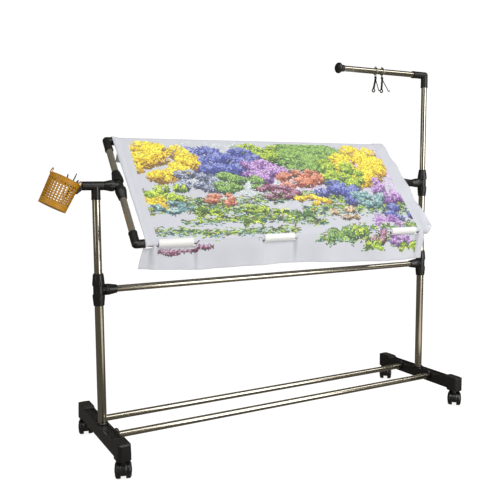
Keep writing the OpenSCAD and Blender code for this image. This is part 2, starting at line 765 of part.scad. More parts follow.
// The turning leg with its flat jaw
module clip_jaw(x, dx) {
    color("gainsboro") translate([side - x, 0, 0]) difference() {
        union() {
            clip_leg(dx, knuckle_d / 4);
            translate([dx, knuckle_d / 4, knuckle_z - clip_drop]) rotate([0, 180 - atan(dx / clip_drop), 0])
                translate([-2.5, -wire_r, -2]) cube([5, wire_d, 8]);
        }
        translate([0, 0, knuckle_z]) rotate([90, 0, 0]) cylinder(r = 1 + fit, h = 2 * knuckle_d, center = true);
    }
}
module clip_ring_a() clip_ring(ring_a_at);
module clip_body_a() clip_body(ring_a_at, -9);
module clip_jaw_a() clip_jaw(ring_a_at, 15);
module clip_ring_b() clip_ring(ring_b_at);
module clip_body_b() clip_body(ring_b_at, -3);
module clip_jaw_b() clip_jaw(ring_b_at, 28);

basket_r = basket_top_d / 2;
// Point at x across and z up the basket's own axis, in the stand's X and Z
function from_basket(x, z) = let (c = cos(basket_tilt), s = sin(basket_tilt))
    [basket_foot[0] + x * c + z * s, basket_foot[1] - x * s + z * c];
tee_end = -side - plain_out;
// Middle of the basket's underside, so that its right rim is basket_out from the tee's end
basket_foot = [tee_end - basket_out - basket_r * cos(basket_tilt) - basket_h * sin(basket_tilt),
    pivot_h + basket_r * sin(basket_tilt) - basket_h * cos(basket_tilt)];
module on_basket() translate([basket_foot[0], 0, basket_foot[1]]) rotate([0, basket_tilt, 0]) children();
// Outer radius of the basket at height z
function basket_at(z) = basket_low_d / 2 + (basket_r - basket_low_d / 2) * z / basket_h;

module basket() {
    pitch = (basket_h - band_low - band_high) / hole_rows;
    color("peru") on_basket() {
        difference() {
            rotate_extrude() polygon([[0, 0], [basket_at(0), 0], [basket_r, basket_h],
                [basket_r - basket_wall, basket_h], [basket_at(0) - basket_wall, basket_wall],
                [0, basket_wall]]);
            for (i = [0 : hole_rows - 1], j = [0 : hole_cols / 2 - 1])
                translate([0, 0, band_low + (i + 0.5) * pitch]) rotate((j + 0.5) * 360 / hole_cols)
                    cube([2 * basket_top_d, hole_w, hole_h], center = true);
        }
        for (s = [-1, 1]) translate([s * (basket_r - basket_wall / 2), 0, basket_h - 1])
            along_x(-basket_wall / 2) difference() {
                cylinder(r = handle_r, h = basket_wall);
                translate([0, 0, -1]) cylinder(r = handle_r - 3, h = basket_wall + 2);
                translate([0, -handle_r - 1, -1]) cube([handle_r + 1, 2 * handle_r + 2, basket_wall + 2]);
            }
    }
}

// A plug in the tee's end with a flange, and a plate that follows the basket's wall
module basket_bracket() {
    low = basket_h - 24;
    flange_x = tee_end - seat - 2;
    color(plastic) {
        translate([0, 0, pivot_h]) along_x(flange_x) cylinder(d = elbow_d - 1, h = 2);
        translate([0, 0, pivot_h]) along_x(flange_x) cylinder(d = bar_d, h = 20);
        rotate([90, 0, 0]) linear_extrude(plate_w, center = true)
            polygon([from_basket(basket_r + seat, basket_h - 3), from_basket(basket_at(low) + seat, low),
                from_basket(basket_at(low) + seat + plate_t, low), [flange_x + 1, pivot_h - bar_r],
                [flange_x + 1, pivot_h + 4]]);
    }
}

// Thin tools in the basket: [foot x, top x, y, top z, radius] on the basket's own axes
tools = [[18, -2, -15, 100, 2], [20, 22.3, 3, 113.7, 1.8], [9.6, 32, -6, 99, 2.6], [13.9, 38, 12, 96, 2.2]];
module basket_tools() {
    for (t = tools) let (rise = t[3] - basket_wall - seat - t[4], dx = t[1] - t[0])
        color(t[4] == 1.8 ? "teal" : "dimgray") on_basket()
            translate([t[0], t[2], basket_wall + seat + t[4]]) {
                sphere(r = t[4]);
                rotate([0, atan(dx / rise), 0]) cylinder(r = t[4], h = norm([dx, rise]) - t[4]);
            }
}

// Places a caster of the given number, whose own X points from its swivel axis to its axle
module at_caster(i) {
    translate([i % 2 == 0 ? -side : side, i < 2 ? -caster_at : caster_at, 0]) rotate(headings[i]) children();
}
wheel_r = wheel_d / 2;
hood_r = wheel_r + hood_gap + hood_wall;
module at_axle() translate([trail, 0, wheel_r]) rotate([90, 0, 0]) children();
hood_top = wheel_r + hood_r;
boss_d = pair_gap - 1.4;

module caster_hood(i) {
    color(plastic) at_caster(i) difference() {
        union() {
            at_axle() difference() {
                cylinder(r = hood_r, h = hood_w, center = true);
                difference() {
                    cylinder(r = wheel_r + hood_gap, h = hood_w + 2, center = true);
                    cylinder(r = wheel_r + hood_gap + 1, h = pair_gap - 8, center = true);
                }
                translate([-2 * hood_r, -2 * hood_r - 6, -hood_w]) cube([4 * hood_r, 2 * hood_r, 2 * hood_w]);
            }
            translate([0, 0, wheel_r + 9]) cylinder(d = boss_d, h = hood_top - wheel_r - 9);
        }
        translate([0, 0, wheel_r + 13]) cylinder(r = stem_d / 2 + fit, h = hood_r);
        at_axle() cylinder(r = axle_d / 2 + fit, h = pair_w, center = true);
    }
}
module caster_pins(i) {
    color("silver") at_caster(i) {
        translate([0, 0, wheel_r + 13 + seat]) cylinder(d = stem_d, h = block_under + stem_in - wheel_r - 13);
        at_axle() cylinder(d = axle_d, h = pair_w - 3, center = true);
    }
}
module caster_wheels(i) {
    w = pair_w / 2;
    g = pair_gap / 2;
    color(plastic) at_caster(i) at_axle() for (s = [0, 1]) mirror([0, 0, s]) rotate_extrude()
        polygon([[axle_d / 2 + fit, g], [wheel_r - 1, g], [wheel_r, g + 1], [wheel_r, w - 4.5],
            [wheel_r - 1.5, w - 2], [wheel_r - 6, w], [0, w], [0, w - 1.5 + seat],
            [axle_d / 2 + fit, w - 1.5 + seat]]);
}
module caster_hood_fl() caster_hood(0);
module caster_hood_fr() caster_hood(1);
module caster_hood_rl() caster_hood(2);
module caster_hood_rr() caster_hood(3);
module caster_pins_fl() caster_pins(0);
module caster_pins_fr() caster_pins(1);
module caster_pins_rl() caster_pins(2);
module caster_pins_rr() caster_pins(3);
module caster_wheels_fl() caster_wheels(0);
module caster_wheels_fr() caster_wheels(1);
module caster_wheels_rl() caster_wheels(2);
module caster_wheels_rr() caster_wheels(3);

foot_left();
foot_right();
lower_tube_left();
lower_tube_right();
low_bar_front();
low_bar_rear();
mid_bar();
mid_tee_left();
mid_tee_right();
mid_tee_nuts();
height_collets();
caster_sockets();
upright_fixings();
low_bar_screws();
upper_tube_left();
upper_tube_right();
top_tee_left();
top_tee_right();
top_tee_nuts();
slide_guides();
arm_left();
arm_right();
arm_tee_left();
arm_tee_right();
arm_tee_nuts();
top_elbows();
bottom_elbows();
top_bar();
bottom_bar();
pivot_stubs();
cloth_panel();
cloth_clips();
cloth_front_flap();
cloth_back_flap();
post_tube();
post_elbow();
accessory_bar();
end_knob();
clip_ring_a();
clip_body_a();
clip_jaw_a();
clip_ring_b();
clip_body_b();
clip_jaw_b();
basket();
basket_bracket();
basket_tools();
caster_hood_fl();
caster_pins_fl();
caster_wheels_fl();
caster_hood_fr();
caster_pins_fr();
caster_wheels_fr();
caster_hood_rl();
caster_pins_rl();
caster_wheels_rl();
caster_hood_rr();
caster_pins_rr();
caster_wheels_rr();
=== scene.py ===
"""Looks of the embroidery floor stand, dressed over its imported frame.

The frame gives every rigid piece at its real size. This script adds the cloth, the wire clips,
the basket's rims and tools, the moulded detail of the feet and casters, and a procedural finish
for every surface. All lengths are metres in the frame's own axes: X along the bars, Y to the rear,
Z up from the floor.
"""

import logging
import math
from dataclasses import dataclass, field
from enum import Enum
from typing import Any, Callable, Sequence

import bmesh
import bpy
import numpy as np
from mathutils import Matrix, Vector


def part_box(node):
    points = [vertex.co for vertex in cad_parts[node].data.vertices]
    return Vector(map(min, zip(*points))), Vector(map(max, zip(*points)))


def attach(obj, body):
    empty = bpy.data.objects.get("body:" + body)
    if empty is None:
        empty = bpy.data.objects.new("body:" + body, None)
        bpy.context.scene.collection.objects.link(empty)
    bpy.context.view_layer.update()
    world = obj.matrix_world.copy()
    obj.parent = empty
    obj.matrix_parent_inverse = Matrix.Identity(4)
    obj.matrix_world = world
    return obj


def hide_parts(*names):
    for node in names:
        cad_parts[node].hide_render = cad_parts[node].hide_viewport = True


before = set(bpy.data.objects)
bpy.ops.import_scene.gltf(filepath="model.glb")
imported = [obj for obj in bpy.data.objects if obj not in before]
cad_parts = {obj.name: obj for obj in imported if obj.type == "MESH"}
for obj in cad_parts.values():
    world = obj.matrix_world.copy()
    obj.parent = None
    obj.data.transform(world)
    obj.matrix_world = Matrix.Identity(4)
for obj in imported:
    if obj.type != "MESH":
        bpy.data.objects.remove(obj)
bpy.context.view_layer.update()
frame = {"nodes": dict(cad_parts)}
log = logging.getLogger("stand")
logging.basicConfig(level=logging.INFO, format="%(name)s: %(message)s")

Array = np.ndarray
Material = bpy.types.Material
Piece = bpy.types.Object
Socket = bpy.types.NodeSocket
Colour = tuple[float, float, float]
Way = tuple[float, float, float]
Span = tuple[float, float]
Profile = tuple[Span, ...]
X, Y, Z = (1, 0, 0), (0, 1, 0), (0, 0, 1)

# Distances from the stand's middle to an upright and to a caster's stem.
HALF_SPAN = 0.595
CASTER_Y = 0.182

# Distances under which two points of a mesh are one, on solid pieces and on the cloth.
MERGE = 1e-6
FINE_MERGE = 1e-7

# Turn above which an edge stays sharp.
SHARP = math.radians(40)

# The cloth's layers of colour and of flat places, and a place beyond the design, where it is bare.
STITCH_COLOUR = "stitch_colour"
CLOTH_UV = "cloth_uv"
OFF_DESIGN = -9.0


def linear(code: str) -> Colour:
    """Turn a display colour into linear light.

    Args:
        code: Six hexadecimal digits, red first.

    Returns:
        Red, green and blue from 0 to 1.
    """
    parts = (int(code[i:i + 2], 16) / 255 for i in (0, 2, 4))
    return tuple(c / 12.92 if c <= 0.04045 else ((c + 0.055) / 1.055) ** 2.4 for c in parts)


def palette(*codes: str) -> tuple[Colour, ...]:
    """Turn several display colours into linear light."""
    return tuple(linear(code) for code in codes)


def ease(x: Array, low: float, high: float) -> Array:
    """Rise from 0 at low to 1 at high along the cubic 3t^2 - 2t^3."""
    t = np.clip((x - low) / (high - low), 0.0, 1.0)
    return t * t * (3 - 2 * t)


def as_points(x: Any, y: Any, z: Any) -> Array:
    """Join three coordinates, each a number or an array, into points."""
    return np.stack(np.broadcast_arrays(x, y, z), -1)


def lattice(u: Array, v: Array) -> Sequence[Array]:
    """Spread two rows of values over a grid, the first one down its rows."""
    return np.meshgrid(u, v, indexing="ij")


class Axis(Enum):
    """Axis that a straight tube follows."""

    X = 0
    Y = 1
    Z = 2


# Surfaces


@dataclass
class Surface:
    """Grids of points joined into one mesh."""

    points: list[Array] = field(default_factory=list)
    quads: list[Array] = field(default_factory=list)
    count: int = 0

    def grid(self, points: Array, wrap_u: bool = False, wrap_v: bool = False,
             flip: bool = False) -> "Surface":
        """Add a surface given by its points on a grid of two parameters.

        Each cell of the grid becomes one quad, taken as index arithmetic on the whole array.

        Args:
            points: Array of shape (nu, nv, 3).
            wrap_u: Joins the last row to the first.
            wrap_v: Joins the last column to the first.
            flip: Turns the faces round.

        Returns:
            The surface itself.
        """
        nu, nv = points.shape[:2]
        u, v = lattice(np.arange(nu if wrap_u else nu - 1), np.arange(nv if wrap_v else nv - 1))
        un, vn = (u + 1) % nu, (v + 1) % nv
        cells = np.stack([u * nv + v, un * nv + v, un * nv + vn, u * nv + vn], -1).reshape(-1, 4)
        self.points.append(points.reshape(-1, 3))
        self.quads.append((cells[:, ::-1] if flip else cells) + self.count)
        self.count += nu * nv
        return self

    def turned(self, profile: Sequence[tuple[float, float]], centre: Sequence[float] = (0, 0, 0),
               axis: Sequence[float] = (0, 0, 1), steps: int = 48) -> "Surface":
        """Add a profile turned about an axis.

        A point at radius r and height h goes to centre + h * axis + r * (u cos t + v sin t),
        where u and v are unit vectors square to the axis and t goes once round.

        Args:
            profile: Pairs of radius and height, from the lower end to the upper one.
            centre: Point on the axis where the height is 0.
            axis: Direction of the axis.
            steps: Points round the axis.

        Returns:
            The surface itself.
        """
        w = np.asarray(axis, float)
        w /= np.linalg.norm(w)
        u = np.cross(w, (0.0, 0.0, 1.0) if abs(w[2]) < 0.9 else (1.0, 0.0, 0.0))
        u /= np.linalg.norm(u)
        v = np.cross(w, u)
        rh = np.asarray(profile, float)
        t = np.linspace(0, 2 * np.pi, steps, endpoint=False)[:, None, None]
        ring = np.cos(t) * u + np.sin(t) * v
        points = np.asarray(centre, float) + rh[None, :, :1] * ring + rh[None, :, 1:] * w
        return self.grid(points, wrap_u=True)

    def swept(self, path: Array, radius: float | Array, steps: int = 12,
              closed: bool = False) -> "Surface":
        """Add a round wire along a path.

        Frames are carried along the path by the least turn: each normal is the one before it
        with its part along the new tangent taken away.

        Args:
            path: Array of shape (n, 3).
            radius: One radius, or one for each point.
            steps: Points round the wire.
            closed: Joins the end of the path to its start.

        Returns:
            The surface itself.
        """
        path = np.asarray(path, float)
        if closed:
            tangent = np.roll(path, -1, 0) - np.roll(path, 1, 0)
        else:
            tangent = np.gradient(path, axis=0)
        tangent /= np.linalg.norm(tangent, axis=1)[:, None]
        side = np.cross(tangent[0], (0.3, 0.9, 0.1))
        normals = []
        for along in tangent:
            side = side - along * side.dot(along)
            side = side / np.linalg.norm(side)
            normals.append(side)
        n = np.asarray(normals)
        b = np.cross(tangent, n)
        t = np.linspace(0, 2 * np.pi, steps, endpoint=False)[None, :, None]
        r = np.broadcast_to(np.asarray(radius, float), (len(path),))[:, None, None]
        rings = path[:, None] + r * (np.cos(t) * n[:, None] + np.sin(t) * b[:, None])
        if not closed:
            rings = np.concatenate([path[:1, None] + 0 * rings[:1], rings, path[-1:, None] + 0 * rings[:1]])
        return self.grid(rings, wrap_u=closed, wrap_v=True)

    def moved(self, matrix: Matrix) -> "Surface":
        """Carry all points by a matrix.

        Args:
            matrix: Move and turn, 4 by 4.

        Returns:
            The surface itself.
        """
        m = np.asarray(matrix)
        self.points = [p @ m[:3, :3].T + m[:3, 3] for p in self.points]
        return self

    def ring(self, middle: Sequence[float], radius: float, wire: float, axes: tuple[Way, Way],
             last: float, steps: int, sides: int) -> "Surface":
        """Add a closed round ring of wire.

        Args:
            middle: Centre of the ring.
            radius: Its radius.
            wire: Radius of the wire.
            axes: Directions of the angles 0 and 90.
            last: Angle of the last point, in degrees.
            steps: Points round the ring.
            sides: Points round the wire.

        Returns:
            The surface itself.
        """
        return self.swept(arc(middle, radius, 0, last, *axes, steps), wire, sides, closed=True)

    def build(self, name: str) -> Piece:
        """Make the piece, with edges sharp above the angle SHARP.

        Args:
            name: Name of the piece.

        Returns:
            The new object.
        """
        piece = make_piece(name, np.concatenate(self.points), np.concatenate(self.quads), MERGE)
        piece.data.set_sharp_from_angle(angle=SHARP)
        return piece


def make_piece(name: str, verts: Array, quads: Array, merge: float) -> Piece:
    """Make a smooth mesh object, with doubles merged, no empty faces and the rest pointing outwards.

    Args:
        name: Name of the piece.
        verts: Points of the mesh.
        quads: Point numbers of each face.
        merge: Distance under which points are one.

    Returns:
        The new object, at the origin.
    """
    mesh = bpy.data.meshes.new(name)
    mesh.from_pydata(verts.tolist(), [], quads.tolist())
    work = bmesh.new()
    work.from_mesh(mesh)
    bmesh.ops.remove_doubles(work, verts=work.verts, dist=merge)
    bmesh.ops.dissolve_degenerate(work, edges=work.edges, dist=merge / 2)
    bmesh.ops.recalc_face_normals(work, faces=work.faces)
    work.to_mesh(mesh)
    work.free()
    mesh.shade_smooth()
    piece = bpy.data.objects.new(name, mesh)
    bpy.context.scene.collection.objects.link(piece)
    return piece


def arc(middle: Sequence[float], radius: float, start: float, end: float, u: Way, v: Way,
        steps: int = 12) -> Array:
    """Points of a round arc: middle + radius * (u cos a + v sin a), with a in degrees.

    Args:
        middle: Centre of the arc.
        radius: Its radius.
        start: First angle.
        end: Last angle.
        u: Direction of angle 0.
        v: Direction of angle 90.
        steps: Number of points.

    Returns:
        Array of shape (steps, 3).
    """
    a = np.radians(np.linspace(start, end, steps))[:, None]
    spoke = np.cos(a) * np.asarray(u, float) + np.sin(a) * np.asarray(v, float)
    return np.asarray(middle, float) + radius * spoke


# Shader maths


class Wire:
    """A socket of a graph that takes part in Python expressions."""

    def __init__(self, shader: "Graph", socket: Socket) -> None:
        """Hold a socket and the graph that it belongs to."""
        self.shader = shader
        self.socket = socket

    def _math(self, operation: str, *values: Any) -> "Wire":
        """Add a Math node and return its result."""
        return self.shader.node("ShaderNodeMath", {"operation": operation}, dict(enumerate(values)))

    def __add__(self, other: Any) -> "Wire":
        """Return self + other."""
        return self._math("ADD", self, other)

    def __sub__(self, other: Any) -> "Wire":
        """Return self - other."""
        return self._math("SUBTRACT", self, other)

    def __rsub__(self, other: Any) -> "Wire":
        """Return other - self."""
        return self._math("SUBTRACT", other, self)

    def __mul__(self, other: Any) -> "Wire":
        """Return self * other."""
        return self._math("MULTIPLY", self, other)

    __radd__ = __add__
    __rmul__ = __mul__

    def step(self, low: float, high: float) -> "Wire":
        """Rise smoothly from 0 at low to 1 at high."""
        return self.shader.node("ShaderNodeMapRange", {"interpolation_type": "SMOOTHSTEP"},
                                {"Value": self, "From Min": low, "From Max": high})

    def sine(self) -> "Wire":
        """Return the sine."""
        return self._math("SINE", self)

    def size(self) -> "Wire":
        """Return the absolute value."""
        return self._math("ABSOLUTE", self)


class Graph:
    """A tree of shader nodes, built node by node."""

    def __init__(self, tree: bpy.types.NodeTree) -> None:
        """Empty the tree and hold it."""
        self.tree = tree
        tree.nodes.clear()

    def plug(self, socket: Socket, value: Any) -> None:
        """Link a wire to a socket, or set the socket's own value.

        Args:
            socket: Socket of a node.
            value: A wire, or a number, vector or colour.
        """
        if isinstance(value, Wire):
            self.tree.links.new(value.socket, socket)
        elif socket.type == "RGBA" and len(value) == 3:
            socket.default_value = (*value, 1.0)
        else:
            socket.default_value = value

    def node(self, kind: str, settings: dict[str, Any] | None = None,
             inputs: dict[Any, Any] | None = None, output: int | str = 0) -> Wire:
        """Add a node.

        Args:
            kind: Blender's name of the node type.
            settings: Properties, set before the inputs.
            inputs: Values or wires by socket name or number.
            output: Socket to return.

        Returns:
            The chosen output.
        """
        made = self.tree.nodes.new(kind)
        for key, value in (settings or {}).items():
            setattr(made, key, value)
        for key, value in (inputs or {}).items():
            self.plug(made.inputs[key], value)
        return Wire(self, made.outputs[output] if made.outputs else None)

    def choose(self, share: Wire, below: Wire, above: Wire) -> Wire:
        """Mix two shaders, with the share of the second from 0 to 1."""
        return self.node("ShaderNodeMixShader", {}, {0: share, 1: below, 2: above})

    def ray(self, kind: str) -> Wire:
        """Return 1 for a kind of ray and 0 for the rest."""
        return self.node("ShaderNodeLightPath", output=kind)


class Shader(Graph):
    """One material."""

    def __init__(self, name: str) -> None:
        """Start a material with a Principled shader.

        Args:
            name: Name of the material.
        """
        self.material = bpy.data.materials.new(name)
        self.material.use_nodes = True
        super().__init__(self.material.node_tree)
        self.output = self.tree.nodes.new("ShaderNodeOutputMaterial")
        self.skin = self.tree.nodes.new("ShaderNodeBsdfPrincipled")
        self.tree.links.new(self.skin.outputs[0], self.output.inputs["Surface"])

    def place(self, scale: Sequence[float] = (1, 1, 1), turn: Sequence[float] = (0, 0, 0)) -> Wire:
        """Add object coordinates, first turned and then scaled.

        Args:
            scale: Factor along each axis.
            turn: Angle about each axis.

        Returns:
            The coordinates.
        """
        spot = self.node("ShaderNodeTexCoord", output="Object")
        turned = self.node("ShaderNodeMapping", {}, {"Vector": spot, "Rotation": turn})
        return self.node("ShaderNodeMapping", {}, {"Vector": turned, "Scale": scale})

    def noise(self, where: Wire, scale: float, detail: float = 3.0, rough: float = 0.55) -> Wire:
        """Return fractal noise from 0 to 1."""
        return self.node("ShaderNodeTexNoise", {}, {
            "Vector": where, "Scale": scale, "Detail": detail, "Roughness": rough})

    def mix(self, share: Any, a: Any, b: Any, kind: str = "MIX") -> Wire:
        """Mix two colours by a share from 0 to 1."""
        return self.node("ShaderNodeMix", {"data_type": "RGBA", "blend_type": kind},
                         {0: share, 6: a, 7: b}, 2)

    def bump(self, height: Wire, depth: float) -> Wire:
        """Return a normal bent by a height, with depth in metres for a height of 1."""
        return self.node("ShaderNodeBump", {}, {"Height": height, "Distance": depth, "Strength": 1.0})

    def parts(self, where: Wire) -> list[Wire]:
        """Return the three parts of a vector."""
        split = self.node("ShaderNodeSeparateXYZ", {}, {"Vector": where}).socket.node
        return [Wire(self, socket) for socket in split.outputs]

    def finish(self, **sockets: Any) -> Material:
        """Set sockets of the Principled shader.

        Args:
            sockets: Values or wires by socket name, with underscores for spaces.

        Returns:
            The finished material.
        """
        for key, value in sockets.items():
            self.plug(self.skin.inputs[key.replace("_", " ")], value)
        return self.material


# Finishes


@dataclass(frozen=True)
class PolishedTube:
    """Polished stainless tube with faint drawing lines along it."""

    along: Axis
    lean: float = 0.0
    light: Colour = linear("c9c3b4")
    dark: Colour = linear("b9b3a3")
    rough: float = 0.10
    metal: float = 1.0

    def make(self) -> Material:
        """Build the finish.

        Returns:
            The material.
        """
        shader = Shader(f"polished_tube_{self.along.name.lower()}{'_leaning' if self.lean else ''}")
        turn = (self.lean, 0.0, 0.0)
        drawn = [400.0, 400.0, 400.0]
        drawn[self.along.value] = 3.0
        rings = [6.0, 6.0, 6.0]
        rings[self.along.value] = 700.0
        lines = shader.noise(shader.place(drawn, turn), 4.0, 4.0)
        polish = shader.noise(shader.place(rings, turn), 1.0, 2.0)
        smear = shader.noise(shader.place(), 14.0, 4.0)
        tone = shader.mix(lines * 0.3 + smear * 0.3 + 0.2, self.dark, self.light)
        return shader.finish(
            Base_Color=tone, Metallic=self.metal, Roughness=self.rough + 0.04 * smear + 0.02 * polish,
            Normal=shader.bump(lines * 0.7 + polish * 0.3, 0.0000008))


@dataclass(frozen=True)
class MouldedPlastic:
    """Moulded plastic with fine grain, slight unevenness and rubbed high spots."""

    name: str
    colour: Colour
    worn: Colour
    rough: float = 0.42
    grain: float = 0.00005
    grain_scale: float = 1400.0
    coat: float = 0.0

    def make(self) -> Material:
        """Build the finish.

        Returns:
            The material.
        """
        shader = Shader(self.name)
        place = shader.place()
        cloud = shader.noise(place, 9.0, 4.0)
        speck = shader.noise(place, self.grain_scale, 2.0)
        rub = shader.noise(place, 55.0, 5.0).step(0.52, 0.75)
        tone = shader.mix(cloud.step(0.3, 0.8) * 0.35 + rub * 0.3, self.colour, self.worn)
        return shader.finish(
            Base_Color=tone, Roughness=self.rough + 0.14 * (cloud - 0.5) + 0.1 * rub,
            Coat_Weight=self.coat, Coat_Roughness=0.15,
            Normal=shader.bump(speck * 0.6 + cloud * 0.4, self.grain))


@dataclass(frozen=True)
class PlatedSteel:
    """Bright plated steel with fine scratches and dull patches."""

    name: str = "plated_steel"
    colour: Colour = linear("c9c9c6")
    dull: Colour = linear("8f8d86")
    rough: float = 0.16

    def make(self) -> Material:
        """Build the finish.

        Returns:
            The material.
        """
        shader = Shader(self.name)
        scratch = shader.noise(shader.place((300, 300, 40)), 6.0, 4.0).step(0.5, 0.9)
        patch = shader.noise(shader.place(), 160.0, 4.0).step(0.45, 0.7)
        return shader.finish(
            Base_Color=shader.mix(patch, self.colour, self.dull), Metallic=1.0,
            Roughness=self.rough + 0.2 * patch + 0.1 * scratch,
            Normal=shader.bump(scratch, 0.00002))


@dataclass(frozen=True)
class StitchedCloth:
    """Even-weave cotton that shows its stitched colours through a fine square weave."""

    name: str = "stitched_cloth"
    thread: float = 0.0018

    def make(self) -> Material:
        """Build the finish.

        Returns:
            The material.
        """
        shader = Shader(self.name)
        colour = shader.node("ShaderNodeAttribute", {"attribute_name": STITCH_COLOUR}, {}, "Color")
        worked = shader.node("ShaderNodeAttribute", {"attribute_name": STITCH_COLOUR}, {}, "Alpha")
        spot = shader.node("ShaderNodeUVMap", {"uv_map": CLOTH_UV})
        across, along, _ = shader.parts(spot)
        turn = 2 * math.pi / self.thread
        warp = (across * turn).sine()
        weft = (along * turn).sine()
        weave = warp.size() * 0.5 + weft.size() * 0.5
        slub = shader.noise(spot, 260.0, 3.0)
        shade = shader.mix(0.16 * slub, colour, (0.42, 0.42, 0.5), "MULTIPLY")
        sheen_spot = shader.mix(weave * 0.07, shade, (1.0, 1.0, 1.0), "SCREEN")
        return shader.finish(
            Base_Color=sheen_spot, Roughness=0.86 - 0.22 * worked,
            Sheen_Weight=0.05, Sheen_Roughness=0.5,
            Normal=shader.bump(weave * 0.5 + slub * 0.5, 0.00025))


BLACK = MouldedPlastic("black_plastic_skin", linear("121211"), linear("1f1f1e"), rough=0.34)
WHEEL = MouldedPlastic("wheel_plastic_skin", linear("111112"), linear("242426"), rough=0.3, coat=0.3)
WHITE = MouldedPlastic("white_plastic_skin", linear("d4d4d2"), linear("c6c7c8"), rough=0.3, grain=0.00002)
ORANGE = MouldedPlastic("basket_plastic_skin", linear("aa7701"), linear("946501"), rough=0.42,
                        grain=0.00003, grain_scale=700.0, coat=0.05)
TOOL = MouldedPlastic("tool_plastic_skin", linear("17181a"), linear("3a3d40"), rough=0.25, coat=0.5)
TEAL = MouldedPlastic("teal_plastic_skin", linear("1d4a53"), linear("316b74"), rough=0.3, coat=0.4)
PLATED = PlatedSteel()
DARK_WIRE = PlatedSteel("dark_wire", linear("45433d"), linear("211f1c"), rough=0.3)
CLOTH = StitchedCloth()


# Embroidery


